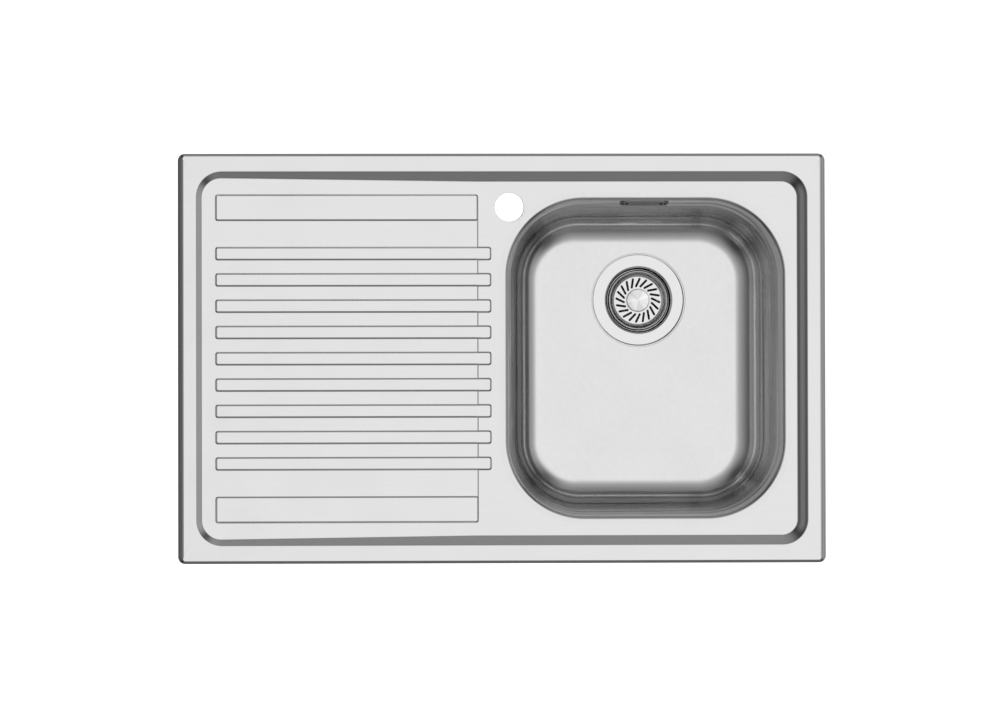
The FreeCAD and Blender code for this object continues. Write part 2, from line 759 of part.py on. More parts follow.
def makeBasketKnob():
    body = newWasteBody("basket_knob")
    capFoot = f"-{dishFloor} + knobNeckHeight"
    cap = revolve(body, "knob", [
        ("studRadius", f"-{dishFloor}"),
        ("knobNeck", f"-{dishFloor}"),
        ("knobNeck", capFoot),
        ("knobRadius", capFoot),
        ("knobRadius", f"{capFoot} + knobEdge"),
        ("0", f"{capFoot} + knobEdge + knobDome"),
        ("0", f"-{dishFloor} + studLength"),
        ("studRadius", f"-{dishFloor} + studLength"),
    ])
    roundEdges(body, cap, "knobEdge / 3", lambda p: near(Vector(p.x, p.y, 0).Length, "knobRadius"))


def makeBasketStem():
    body = newWasteBody("basket_stem")
    revolve(body, "stem", [
        ("0", f"-{stemEnd} - stemCollarThick"),
        ("stemCollar", f"-{stemEnd} - stemCollarThick"),
        ("stemCollar", f"-{stemEnd}"),
        ("stemRadius", f"-{stemEnd}"),
        ("stemRadius", f"-{dishUnder} - stemSeatThick"),
        ("stemSeat", f"-{dishUnder} - stemSeatThick"),
        ("stemSeat", f"-{dishUnder}"),
        ("hubHoleRadius", f"-{dishUnder}"),
        ("hubHoleRadius", f"-{dishFloor}"),
        ("studRadius", f"-{dishFloor}"),
        ("studRadius", f"-{dishFloor} + studLength"),
        ("0", f"-{dishFloor} + studLength"),
    ])


def makeBasketSeal():
    body = newWasteBody("basket_seal")
    top = "(-basketTop - basketThick)"
    inner = f"(basketRadius - basketRim + {dishUnderRadius} - basketFloorRadius + play)"
    ring = revolve(body, "ring", [
        (inner, f"{top} - sealThick"),
        ("plugSealRadius", f"{top} - sealThick"),
        ("plugSealRadius", top),
        (inner, top),
    ])
    roundEdges(body, ring, "sealThick / 3", lambda p: near(Vector(p.x, p.y, 0).Length, "plugSealRadius"))


def makeBasketCatch():
    body = newWasteBody("basket_catch")
    foot = "(-cupDepth + play)"
    shell = revolve(body, "shell", [
        ("screwHeadRadius + looseFit", foot),
        ("catchRadius", foot),
        ("catchRadius", f"-{catchTop}"),
        ("stemRadius + runningFit", f"-{catchTop}"),
        ("stemRadius + runningFit", f"-{catchTop} - catchPlate"),
        ("screwHeadRadius + looseFit", f"-{catchTop} - catchPlate"),
    ])
    roundEdges(body, shell, "catchPlate / 2", lambda p: onCircle(p, "catchRadius", f"-{catchTop}"))


makeBasketDish()
makeBasketKnob()
makeBasketStem()
makeBasketSeal()
makeBasketCatch()


# ---- overflow in the back wall ----


def newOverflowBody(label):
    """A body on the back wall's inner face: X to the right, Y up the wall, Z into the bowl."""
    turn = Rotation(Vector(1, 0, 0), 1)
    body = newBody(label, x=bowlMiddle, y=overflowWallY, z=f"{deckZ} - overflowDepth", turn=turn)
    body.setExpression(".Placement.Rotation.Angle", linked("90 - bowlDraft"))
    return body


def overflowPoint(up, out):
    """World Y and Z of a point in the overflow's own frame."""
    y = f"({overflowWallY} + ({up}) * sin(bowlDraft) - ({out}) * cos(bowlDraft))"
    z = f"({deckZ} - overflowDepth + ({up}) * cos(bowlDraft) + ({out}) * sin(bowlDraft))"
    return y, z


def makeOverflowPlate():
    body = newOverflowBody("overflow_plate")
    outline = newSketch(body, "outline")
    addCentredOutline(outline, "plateLength / 2", "plateHeight / 2", "plateCorner")
    plate = extrude("Pad", body, outline, "plateThick")
    roundEdges(body, plate, "plateThick / 2", lambda p: near(p.z, "plateThick"))
    slots = newSketch(body, "slots", height="plateThick")
    for side in ("-1", "1"):
        for place in ("plateSlotInner", "plateSlotOuter"):
            middle = f"{side} * {place}"
            addOutline(slots, f"{middle} - plateSlotWidth / 2", f"{middle} + plateSlotWidth / 2",
                       "-plateSlotHeight / 2", "plateSlotHeight / 2", "plateSlotWidth / 2 - flatEnd")
    extrude("Pocket", body, slots, "2 * plateThick")
    prongs = newSketch(body, "prongs")
    prongTop = "(wallSlotHeight / 2 - prongGap)"
    for side in ("-1", "1"):
        addPath(prongs, [
            (f"{side} * prongX - prongWidth / 2", f"{prongTop} - prongThick"),
            (f"{side} * prongX + prongWidth / 2", f"{prongTop} - prongThick"),
            (f"{side} * prongX + prongWidth / 2", prongTop),
            (f"{side} * prongX - prongWidth / 2", prongTop),
        ])
    extrude("Pad", body, prongs, "prongLength", reverse=True)


def makeOverflowGasket():
    body = newOverflowBody("overflow_gasket")
    ring = newSketch(body, "ring", height="-sheet")
    halfX = "wallSlotLength / 2 + elbowFlange"
    halfY = "wallSlotHeight / 2 + elbowFlange"
    addCentredOutline(ring, halfX, halfY, "elbowCorner + elbowFlange")
    addCentredOutline(ring, "wallSlotLength / 2", "wallSlotHeight / 2", "elbowCorner")
    extrude("Pad", body, ring, "sealThick", reverse=True)


def makeOverflowElbow():
    body = newOverflowBody("overflow_elbow")
    face = "(sheet + sealThick)"
    slotX = "wallSlotLength / 2"
    slotY = "wallSlotHeight / 2"
    flange = newSketch(body, "flange", height=f"-{face}")
    addCentredOutline(flange, f"{slotX} + elbowFlange", f"{slotY} + elbowFlange", "elbowCorner + elbowFlange")
    extrude("Pad", body, flange, "elbowWall", reverse=True)
    box = newSketch(body, "box", height=f"-{face}")
    addCentredOutline(box, f"{slotX} + elbowWall", f"{slotY} + elbowWall", "elbowCorner + elbowWall")
    housing = extrude("Pad", body, box, "elbowDepth", reverse=True)
    roundEdges(body, housing, "elbowWall", lambda p: near(p.z, f"-{face} - elbowDepth"))
    doc.recompute()
    spigot = newSketch(body, "spigot", "XZ_Plane", height=slotY)
    addCircle(spigot, "0", f"-{face} - elbowDepth / 2", "pipeRadius")
    extrude("Pad", body, spigot, "elbowWall + spigotLength")
    hollow = newSketch(body, "hollow", height=f"-{face}")
    addCentredOutline(hollow, slotX, slotY, "elbowCorner")
    extrude("Pocket", body, hollow, "elbowDepth - elbowWall")
    bore = newSketch(body, "bore", "XZ_Plane", height=f"{slotY} - overcut")
    addCircle(bore, "0", f"-{face} - elbowDepth / 2", "pipeRadius - pipeWall")
    extrude("Pocket", body, bore, "elbowWall + spigotLength + 2 * overcut", reverse=True)


elbowEndY, elbowEndZ = overflowPoint(
    "-wallSlotHeight / 2 - elbowWall - spigotLength", "-sheet - sealThick - elbowDepth / 2"
)
inletEndY = "(wasteFromMiddle + potRadius + inletReach)"
inletZ = f"({floorZ} - inletDepth)"


def makeOverflowPipe():
    """A rigid moulded pipe: level from the waste's inlet, one bend, then up beside the wall."""
    body = newBody("overflow_pipe", x=bowlMiddle)
    spine = newSketch(body, "spine", "YZ_Plane")
    startY, startZ = valueOf(inletEndY), valueOf(inletZ)
    endY, endZ = valueOf(elbowEndY), valueOf(elbowEndZ)
    draft, bend = valueOf("bowlDraft"), valueOf("pipeBend")
    rise = Rotation(Vector(0, 0, 1), 90 - draft).multVec(Vector(1, 0, 0))
    corner = Vector(endY, endZ, 0) - rise * ((endZ - startZ) / rise.y)
    setback = bend * valueOf("tan((90 - bowlDraft) / 2)")
    level = Part.LineSegment(Vector(startY, startZ, 0), corner - Vector(setback, 0, 0))
    upright = Part.LineSegment(corner + rise * setback, Vector(endY, endZ, 0))
    centre = level.EndPoint + Vector(0, bend, 0)
    middle = centre + (corner - centre).normalize() * bend
    spine.addGeometry([level, Part.Arc(level.EndPoint, middle, upright.StartPoint), upright])
    spine.addConstraint(Sketcher.Constraint("Tangent", 0, 2, 1, 1))
    spine.addConstraint(Sketcher.Constraint("Tangent", 1, 2, 2, 1))
    spine.addConstraint(Sketcher.Constraint("Horizontal", 0))
    hold(spine, "DistanceX", (-1, 1, 0, 1), inletEndY)
    hold(spine, "DistanceY", (-1, 1, 0, 1), inletZ)
    hold(spine, "DistanceX", (-1, 1, 2, 2), elbowEndY)
    hold(spine, "DistanceY", (-1, 1, 2, 2), elbowEndZ)
    hold(spine, "Radius", (1,), "pipeBend")
    number = spine.addConstraint(Sketcher.Constraint("Angle", 2, math.radians(90 - draft)))
    spine.setExpression(f"Constraints[{number}]", linked("(90 - bowlDraft) * 1 deg"))

    section = newSketch(body, "section", "XZ_Plane", height=f"-{inletEndY}")
    addCircle(section, "0", inletZ, "pipeRadius")
    addCircle(section, "0", inletZ, "pipeRadius - pipeWall")
    sweep = body.newObject("PartDesign::AdditivePipe", "overflow_pipe_sweep")
    sweep.Profile = section
    sweep.Spine = (spine, ["Edge1", "Edge2", "Edge3"])


def addNut(body):
    """A union nut about the body's Z axis, its middle at the origin, with grip ribs."""
    inner = "(pipeRadius + runningFit)"
    outer = "(pipeRadius + nutWall)"
    ring = revolve(body, "ring", [
        (inner, "-nutLength / 2"),
        (outer, "-nutLength / 2"),
        (outer, "nutLength / 2"),
        (inner, "nutLength / 2"),
    ])
    roundEdges(body, ring, "nutWall / 4", lambda p: near(Vector(p.x, p.y, 0).Length, outer))
    doc.recompute()
    rib = newSketch(body, "rib", height="-nutLength / 2 + nutRib")
    addPath(rib, [
        (f"{outer} - overcut", "-nutRib"),
        (f"{outer} + nutRib", "-nutRib / 2"),
        (f"{outer} + nutRib", "nutRib / 2"),
        (f"{outer} - overcut", "nutRib"),
    ])
    bar = extrude("Pad", body, rib, "nutLength - 2 * nutRib")
    doc.recompute()
    repeatRound(body, bar, "nutRibCount")


def makeOverflowNuts():
    # each nut spans the joint between the pipe and a spigot
    levelTurn = Rotation(Vector(1, 0, 0), 90)
    lower = newBody("overflow_nut_lower", bowlMiddle, inletEndY, inletZ, turn=levelTurn)
    addNut(lower)
    leaningTurn = Rotation(Vector(1, 0, 0), 1)
    upper = newBody("overflow_nut_upper", bowlMiddle, elbowEndY, elbowEndZ, turn=leaningTurn)
    upper.setExpression(".Placement.Rotation.Angle", linked("-bowlDraft"))
    addNut(upper)


makeOverflowPlate()
makeOverflowGasket()
makeOverflowElbow()
makeOverflowPipe()
makeOverflowNuts()


# ---- fold-out clips under the rim, parked along it ----

# each place is its X, its Y and the way it faces, in degrees from +X
clipInX = f"({halfLength} - clipFromEdge)"
clipInY = f"({halfDepth} - clipFromEdge)"
clipPlaces = [
    ("-clipPlaceX", f"-{clipInY}", 270),
    ("clipPlaceX", f"-{clipInY}", 270),
    (clipInX, "0", 0),
    ("clipPlaceX", clipInY, 90),
    ("-clipPlaceX", clipInY, 90),
    (f"-{clipInX}", "0", 180),
]


def makeClipStuds():
    """Six stepped studs welded under the rim: the spacer, the pin and its peened head."""
    body = newBody("clip_studs")
    pinLength = "(clipPlate + 2 * play)"
    steps = [
        ("spacer", rimUnderZ, f"{rimUnderZ} + clipTop", "clipStudRadius"),
        ("pin", "-clipTop", pinLength, "clipPinRadius"),
        ("head", f"-clipTop - {pinLength}", "clipHeadThick", "clipStudRadius"),
    ]
    for name, height, length, radius in steps:
        sketch = newSketch(body, name, height=height)
        for x, y, facing in clipPlaces:
            addCircle(sketch, x, y, radius)
        extrude("Pad", body, sketch, length, reverse=True)


def makeClip(number, x, y, facing):
    """A bent steel clip, its screw and the foot that the screw presses up under the worktop."""
    turn = Rotation(Vector(0, 0, 1), facing)
    body = newBody(f"swing_clip_{number}", x, y, turn=turn)
    top = "(-clipTop - play)"
    profile = newSketch(body, "profile", "YZ_Plane")
    addPath(profile, [
        ("clipWidth / 2", top),
        ("-clipHeel", top),
        ("-clipHeel", armZ),
        ("clipReach + clipWidth / 2", armZ),
        ("clipReach + clipWidth / 2", f"{armZ} + clipPlate"),
        ("-clipHeel + clipPlate", f"{armZ} + clipPlate"),
        ("-clipHeel + clipPlate", f"{top} - clipPlate"),
        ("clipWidth / 2", f"{top} - clipPlate"),
    ])
    strip = extrude("Pad", body, profile, "clipWidth", both=True)
    bends = roundEdges(body, strip, "clipBend", lambda p: (
        near(p.y, "-clipHeel") and (near(p.z, top) or near(p.z, armZ))
    ))
    inside = roundEdges(body, bends, "clipBend - clipPlate", lambda p: (
        near(p.y, "-clipHeel + clipPlate")
        and (near(p.z, f"{top} - clipPlate") or near(p.z, f"{armZ} + clipPlate"))
    ))
    roundEdges(body, inside, "clipWidth / 2 - flatEnd", lambda p: (
        near(abs(p.x), "clipWidth / 2")
        and (near(p.y, "clipWidth / 2") or near(p.y, "clipReach + clipWidth / 2"))
    ))
    doc.recompute()
    collar = newSketch(body, "collar", height=armZ)
    addCircle(collar, "0", "clipReach", "clipCollarRadius")
    extrude("Pad", body, collar, "clipPlate + clipCollar")
    thread = newSketch(body, "thread", height=f"{armZ} + clipPlate + clipCollar + overcut")
    addCircle(thread, "0", "clipReach", "clipScrewRadius + runningFit")
    extrude("Pocket", body, thread, "clipPlate + clipCollar + 2 * overcut")
    pivot = newSketch(body, "pivot", height=f"{top} + overcut")
    addCircle(pivot, "0", "0", "clipPinRadius + runningFit")
    extrude("Pocket", body, pivot, "clipPlate + 2 * overcut")

    # the screw's axis is beside the pivot's, one reach along the arm
    arm = turn.multVec(Vector(0, 1, 0))
    screwX = f"{x} + {round(arm.x)} * clipReach"
    screwY = f"{y} + {round(arm.y)} * clipReach"

    foot = newBody(f"clip_foot_{number}", screwX, screwY, footZ)
    cap = revolve(foot, "cap", [
        ("clipTipRadius + runningFit", "0"),
        ("clipFootRadius", "0"),
        ("clipFootRadius", "clipFootHeight"),
        ("0", "clipFootHeight"),
        ("0", "clipTipLength + runningFit"),
        ("clipTipRadius + runningFit", "clipTipLength + runningFit"),
    ])
    roundEdges(foot, cap, "clipFootHeight / 5", lambda p: near(Vector(p.x, p.y, 0).Length, "clipFootRadius"))

    screw = newBody(f"clip_screw_{number}", screwX, screwY, footZ, turn=turn)
    shank = revolve(screw, "shank", [
        ("0", "-clipScrewLength - clipScrewHead"),
        ("clipScrewHeadRadius", "-clipScrewLength - clipScrewHead"),
        ("clipScrewHeadRadius", "-clipScrewLength"),
        ("clipScrewRadius", "-clipScrewLength"),
        ("clipScrewRadius", "-play"),
        ("clipTipRadius", "-play"),
        ("clipTipRadius", "clipTipLength"),
        ("0", "clipTipLength"),
    ])
    roundEdges(screw, shank, "clipScrewHead / 6", lambda p: (
        near(Vector(p.x, p.y, 0).Length, "clipScrewHeadRadius")
    ))
    slot = newSketch(screw, "slot", height="-clipScrewLength - clipScrewHead")
    addPath(slot, [
        ("-clipScrewHeadRadius - overcut", "-clipScrewSlot / 2"),
        ("clipScrewHeadRadius + overcut", "-clipScrewSlot / 2"),
        ("clipScrewHeadRadius + overcut", "clipScrewSlot / 2"),
        ("-clipScrewHeadRadius - overcut", "clipScrewSlot / 2"),
    ])
    extrude("Pocket", screw, slot, "clipScrewHead / 2", reverse=True)


makeClipStuds()
for number, (x, y, facing) in enumerate(clipPlaces, 1):
    makeClip(number, x, y, facing)


# ---- check and write ----

doc.recompute()
failed = [item.Name for item in doc.Objects if {"Invalid", "Error"} & set(item.State)]
if failed:
    raise RuntimeError(f"failed objects: {failed}")

dies = (upperDie, lowerDie)
pieces = [sinkDeck] + [item for item in doc.Objects if item.TypeId == "PartDesign::Body" and item not in dies]
for piece in pieces:
    if piece.Shape.isNull() or not piece.Shape.isValid() or not piece.Shape.Solids:
        raise RuntimeError(f"bad shape: {piece.Label}")

os.makedirs("parts", exist_ok=True)
for piece in pieces:
    piece.Shape.exportStep(f"parts/{piece.Label}.step")
    box = piece.Shape.BoundBox
    print(
        f"{piece.Label:22} solids {len(piece.Shape.Solids)}  volume {piece.Shape.Volume:10.0f}"
        f"  x {box.XMin:7.1f} {box.XMax:7.1f}  y {box.YMin:7.1f} {box.YMax:7.1f}"
        f"  z {box.ZMin:7.1f} {box.ZMax:7.1f}"
    )
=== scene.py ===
import math

import bmesh
import bpy
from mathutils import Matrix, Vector
from mathutils.geometry import delaunay_2d_cdt


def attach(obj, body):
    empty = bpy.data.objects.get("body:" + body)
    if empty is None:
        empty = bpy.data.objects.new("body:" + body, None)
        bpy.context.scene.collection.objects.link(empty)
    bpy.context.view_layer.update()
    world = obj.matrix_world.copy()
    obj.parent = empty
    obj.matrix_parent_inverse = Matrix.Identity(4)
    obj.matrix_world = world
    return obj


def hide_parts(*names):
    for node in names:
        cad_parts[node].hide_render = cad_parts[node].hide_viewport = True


# Looks of an inset kitchen sink, in metres: +X to the bowl, +Y to the tap hole, +Z up, 0 at the worktop.
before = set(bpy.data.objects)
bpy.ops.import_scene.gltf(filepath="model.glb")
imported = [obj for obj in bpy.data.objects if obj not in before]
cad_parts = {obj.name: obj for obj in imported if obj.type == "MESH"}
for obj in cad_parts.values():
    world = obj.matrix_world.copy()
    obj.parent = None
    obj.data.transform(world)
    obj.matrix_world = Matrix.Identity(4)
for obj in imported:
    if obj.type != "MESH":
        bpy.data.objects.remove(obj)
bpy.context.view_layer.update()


def linear(hexColour):
    # sRGB hex to linear light
    channels = [int(hexColour[i:i + 2], 16) / 255 for i in (0, 2, 4)]
    return [c / 12.92 if c < 0.04045 else ((c + 0.055) / 1.055) ** 2.4 for c in channels] + [1.0]


def addNode(tree, kind, links=None, **settings):
    # links gives an input's name or number its value, or the socket that feeds it
    node = tree.nodes.new(kind)
    for name, value in settings.items():
        setattr(node, name, value)
    for name, source in (links or {}).items():
        if isinstance(source, bpy.types.NodeSocket):
            tree.links.new(source, node.inputs[name])
        else:
            node.inputs[name].default_value = source
    return node


def newMaterial(name):
    material = bpy.data.materials.new(name)
    material.use_nodes = True
    return material, material.node_tree, material.node_tree.nodes["Principled BSDF"]


def stretched(tree, cell):
    # object coordinates divided by the size of one pattern cell along X, Y and Z, in millimetres
    place = addNode(tree, "ShaderNodeTexCoord")
    spread = addNode(tree, "ShaderNodeMapping", {
        "Vector": place.outputs["Object"], "Scale": [1000 / size for size in cell],
    })
    return spread.outputs["Vector"]


# painted highlights on the turned knob: waves round its axis painted into its colour
paintedSpokeWaves = ((2, 0.9, 0.09), (5, 2.0, 0.05), (11, 0.5, 0.03))  # count, start in radians and strength
paintedSpokeOffset = 0.14  # keeps the brightest spoke from burning out
mouldFlow = 30  # size in mm of the faint clouds in moulded plastic and rubber


def metal(name, colour, roughness, grain, relief, haze, hazeSize, anisotropy=0.0):
    # in mm: grain is the size of the finest marks, relief their depth, hazeSize the size of the gloss's
    # clouds; haze is how far the gloss wanders
    material, tree, shader = newMaterial(name)
    marks = addNode(tree, "ShaderNodeTexNoise", {
        "Vector": stretched(tree, grain), "Scale": 1.0, "Detail": 3.0, "Roughness": 0.6,
    })
    clouds = addNode(tree, "ShaderNodeTexNoise", {
        "Vector": stretched(tree, [hazeSize] * 3), "Scale": 1.0, "Detail": 4.0, "Roughness": 0.55,
    })
    gloss = addNode(tree, "ShaderNodeMapRange", {
        "Value": clouds.outputs["Fac"], "From Min": 0.3, "From Max": 0.7,
        "To Min": roughness - haze / 2, "To Max": roughness + haze / 2,
    })
    tint = addNode(tree, "ShaderNodeMapRange", {
        "Value": marks.outputs["Fac"], "From Min": 0.3, "From Max": 0.7, "To Min": 0.975, "To Max": 1.0,
    })
    shade = addNode(tree, "ShaderNodeMix", {
        "Factor": tint.outputs["Result"], "A": [0, 0, 0, 1], "B": linear(colour),
    }, data_type="RGBA")
    bump = addNode(tree, "ShaderNodeBump", {
        "Height": marks.outputs["Fac"], "Distance": relief / 1000, "Strength": 1.0,
    })
    shader.inputs["Metallic"].default_value = 1.0
    shader.inputs["Anisotropic"].default_value = anisotropy
    tree.links.new(shade.outputs["Result"], shader.inputs["Base Color"])
    tree.links.new(gloss.outputs["Result"], shader.inputs["Roughness"])
    tree.links.new(bump.outputs["Normal"], shader.inputs["Normal"])
    if anisotropy:
        rings = addNode(tree, "ShaderNodeTangent", direction_type="RADIAL", axis="Z")
        tree.links.new(rings.outputs["Tangent"], shader.inputs["Tangent"])
        # painted highlight: soft spokes round the axis painted into the colour, as the light on turned faces
        # shows them
        place = addNode(tree, "ShaderNodeTexCoord")
        angle = addNode(tree, "ShaderNodeTexGradient", {
            "Vector": place.outputs["Object"],
        }, gradient_type="RADIAL")
        spokes = tint.outputs["Result"]
        for count, start, depth in paintedSpokeWaves:
            turn = addNode(tree, "ShaderNodeMath", {
                0: angle.outputs["Fac"], 1: 2 * math.pi * count, 2: start,
            }, operation="MULTIPLY_ADD")
            wave = addNode(tree, "ShaderNodeMath", {0: turn.outputs[0]}, operation="SINE")
            spokes = addNode(tree, "ShaderNodeMath", {
                0: wave.outputs[0], 1: depth, 2: spokes,
            }, operation="MULTIPLY_ADD").outputs[0]
        shaded = addNode(tree, "ShaderNodeMath", {0: spokes, 1: -paintedSpokeOffset})
        tree.links.new(shaded.outputs[0], shade.inputs["Factor"])
    return material


def moulded(name, colour, roughness, speck, relief):
    # plastic or rubber from a mould: speck is the size of its fine texture in mm, relief its depth in mm
    material, tree, shader = newMaterial(name)
    texture = addNode(tree, "ShaderNodeTexNoise", {
        "Vector": stretched(tree, [speck] * 3), "Scale": 1.0, "Detail": 2.0,
    })
    flow = addNode(tree, "ShaderNodeTexNoise", {
        "Vector": stretched(tree, [mouldFlow] * 3), "Scale": 1.0, "Detail": 3.0,
    })
    value = addNode(tree, "ShaderNodeMapRange", {
        "Value": flow.outputs["Fac"], "From Min": 0.3, "From Max": 0.7, "To Min": 0.93, "To Max": 1.05,
    })
    shade = addNode(tree, "ShaderNodeHueSaturation", {
        "Color": linear(colour), "Value": value.outputs["Result"],
    })
    gloss = addNode(tree, "ShaderNodeMapRange", {
        "Value": flow.outputs["Fac"], "From Min": 0.3, "From Max": 0.7,
        "To Min": roughness - 0.05, "To Max": roughness + 0.05,
    })
    bump = addNode(tree, "ShaderNodeBump", {
        "Height": texture.outputs["Fac"], "Distance": relief / 1000, "Strength": 1.0,
    })
    tree.links.new(shade.outputs["Color"], shader.inputs["Base Color"])
    tree.links.new(gloss.outputs["Result"], shader.inputs["Roughness"])
    tree.links.new(bump.outputs["Normal"], shader.inputs["Normal"])
    return material


finishes = {
    # rolled stainless sheet, satin polished along its length: mirrors shapes softly, level faces look white;
    # its marks are drawn coarser than the real 0.1 mm lines
    "sheet": metal("satinStainlessSheet", "E6E6E6", 0.15, [60, 1.2, 1.2], 0.0003, 0.05, 60),
    # the same sheet drawn into a bowl and buffed: marks that run down the walls, drawn coarser too
    "bowl": metal("drawnStainlessBowl", "E5E5E5", 0.17, [6, 6, 90], 0.0004, 0.06, 70),
    # pressed and polished strainer parts: sharp dark and bright rings
    "polished": metal("polishedStainless", "EAEAEA", 0.15, [0.6, 0.6, 0.6], 0.0002, 0.04, 20),
    # the inside of the waste's cup, pressed: matt, with its colour painted dark grey as painted shade, so it
    # looks dark behind the slots
    "pressed": metal("cupPaintedShadeStainless", "6A6A6A", 0.55, [1, 1, 4], 0.01, 0.1, 10),
    # overflow plate, brushed, standing in the shade of the wall: its colour is painted dark grey as painted
    # shade, a dark grey bar
    "plate": metal("brushedStainlessPlate", "8E8E8E", 0.38, [4, 0.8, 0.8], 0.0004, 0.06, 12),
    # turned knob: fine rings draw the light out into spokes, drawn coarser than the real 0.05 mm tool marks;
    # the spokes are also painted into its colour as painted highlights
    "turned": metal("turnedStainless", "FAFAFA", 0.15, [1.5, 1.5, 1.5], 0.0001, 0.03, 8, 0.6),
    # zinc plate on folded steel: greyish, slightly cloudy
    "zinc": metal("zincPlatedSteel", "B9BCBF", 0.34, [0.8, 0.8, 3], 0.01, 0.16, 8),
    # turned brass insert: warm, with fine rings across its axis
    "brass": metal("turnedBrass", "D9B46A", 0.28, [1, 1, 0.2], 0.01, 0.1, 6),
    # closed-cell foam strip: dead black-grey with open pores
    "foam": moulded("closedCellFoam", "2B2B2D", 0.85, 0.8, 0.2),
    "rubber": moulded("mouldedRubber", "1E1E1F", 0.6, 0.5, 0.03),  # soft sheen on round edges
    "damping": moulded("bitumenDampingSheet", "3A3A3C", 0.8, 3, 0.3),  # grainy, matt, dark grey
    "white": moulded("whitePolypropylene", "E9E8E2", 0.42, 1.2, 0.02),  # waxy, a little warm
    "dark": moulded("blackNylon", "242426", 0.45, 0.9, 0.02),  # satin black
}
print("materials made:", len(finishes))


def roundedRing(centre, halfX, halfY, corner, arcSteps=16, breaks=(), sideSteps=0):
    # points round a rectangle with round corners, anticlockwise; breaks are extra X places on the long sides,
    # and sideSteps divides each straight side evenly
    cx, cy = centre
    points = []
    corners = [(1, 1), (-1, 1), (-1, -1), (1, -1)]
    for i, (sx, sy) in enumerate(corners):
        for k in range(arcSteps + 1):
            angle = math.pi / 2 * (i + k / arcSteps)
            x = cx + sx * (halfX - corner) + corner * math.cos(angle)
            y = cy + sy * (halfY - corner) + corner * math.sin(angle)
            points.append((x, y))
        if i == 0:
            points += [(x, cy + halfY) for x in sorted(breaks, reverse=True)]
        if i == 2:
            points += [(x, cy - halfY) for x in sorted(breaks)]
        if sideSteps:
            nextX, nextY = corners[(i + 1) % 4]
            angle = math.pi / 2 * (i + 1)
            x, y = points[-1]
            runX = cx + nextX * (halfX - corner) + corner * math.cos(angle) - x
            runY = cy + nextY * (halfY - corner) + corner * math.sin(angle) - y
            points += [(x + runX * k / sideSteps, y + runY * k / sideSteps) for k in range(1, sideSteps)]
    return points


roundSteps = 160  # sides of a large circle


def circle(centre, radius, steps):
    turns = [2 * math.pi * k / steps for k in range(steps)]
    return [(centre[0] + radius * math.cos(a), centre[1] + radius * math.sin(a)) for a in turns]


def bend(fromAngle, toAngle, radius, centre, steps=6):
    # an arc of a profile, as inset and height; angles in degrees from the inset's direction
    turns = [math.radians(fromAngle + (toAngle - fromAngle) * k / steps) for k in range(steps + 1)]
    return [(centre[0] + radius * math.cos(a), centre[1] + radius * math.sin(a)) for a in turns]


def addLoop(mesh, points):
    return [mesh.verts.new(point) for point in points]


def loft(mesh, loops):
    # quads between closed loops of one length
    for first, second in zip(loops, loops[1:]):
        for i in range(len(first)):
            j = (i + 1) % len(first)
            mesh.faces.new((first[i], first[j], second[j], second[i]))


def spin(mesh, profile, centre, top, steps=roundSteps):
    # loops round an upright axis from a profile of radius and height
    rings = [(circle(centre, radius, steps), top + z) for radius, z in profile]
    return [addLoop(mesh, [(x, y, height) for x, y in ring]) for ring, height in rings]


def encloses(polygon, point):
    # counts crossings
    inside = False
    for a, b in zip(polygon, polygon[1:] + polygon[:1]):
        if (a[1] > point[1]) != (b[1] > point[1]):
            if point[0] < (b[0] - a[0]) * (point[1] - a[1]) / (b[1] - a[1]) + a[0]:
                inside = not inside
    return inside


def fillFlat(mesh, outer, holes):
    # faces between the outer loop and the holes
    verts = list(outer)
    edges = [(i, (i + 1) % len(outer)) for i in range(len(outer))]
    for hole in holes:
        start = len(verts)
        verts += hole
        edges += [(start + i, start + (i + 1) % len(hole)) for i in range(len(hole))]
    places, _, faces, origins, _, _ = delaunay_2d_cdt([Vector(v.co.xy) for v in verts], edges, [], 0, 1e-7)
    owner = [verts[o[0]] if o else None for o in origins]
    insideOuter = [v.co.xy for v in outer]
    insideHoles = [[v.co.xy for v in hole] for hole in holes]
    for face in faces:
        middle = sum((places[i] for i in face), Vector((0, 0))) / len(face)
        if not encloses(insideOuter, middle) or any(encloses(hole, middle) for hole in insideHoles):
            continue
        corners = [owner[i] for i in face]
        if None not in corners and len(set(corners)) == len(corners):
            mesh.faces.new(corners)


def newPiece(name, mesh, coats, nodes, body="sink", thickness=0.0, origin=(0, 0, 0), cutter=None):
    # a sheet in the mesh faces up and gets its thickness downwards; the cutter's solid is taken out of it
    bmesh.ops.remove_doubles(mesh, verts=mesh.verts, dist=1e-7)
    bmesh.ops.recalc_face_normals(mesh, faces=mesh.faces)
    mesh.normal_update()
    if sum(face.normal.z * face.calc_area() for face in mesh.faces) < 0 and thickness:
        bmesh.ops.reverse_faces(mesh, faces=mesh.faces)
    bmesh.ops.translate(mesh, verts=mesh.verts, vec=-Vector(origin))
    data = bpy.data.meshes.new(name)
    mesh.to_mesh(data)
    mesh.free()
    piece = bpy.data.objects.new(name, data)
    piece.location = origin
    bpy.context.collection.objects.link(piece)
    for coat in coats:
        data.materials.append(finishes[coat])
    if thickness:
        solid = piece.modifiers.new("Solid", "SOLIDIFY")
        solid.thickness = thickness
        solid.offset = -1
    if cutter:
        cut = piece.modifiers.new("Cut", "BOOLEAN")
        cut.object = cutter
        cut.solver = "EXACT"
    if thickness or cutter:
        bpy.context.view_layer.update()
        shown = piece.evaluated_get(bpy.context.evaluated_depsgraph_get())
        piece.data = bpy.data.meshes.new_from_object(shown)
        piece.modifiers.clear()
    if cutter:
        bpy.data.objects.remove(cutter)
    piece.data.polygons.foreach_set("use_smooth", [True] * len(piece.data.polygons))
    piece.data.set_sharp_from_angle(angle=math.radians(38))
    weight = piece.modifiers.new("Weight", "WEIGHTED_NORMAL")
    weight.keep_sharp = True
    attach(piece, body)
    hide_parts(*nodes)
    return piece


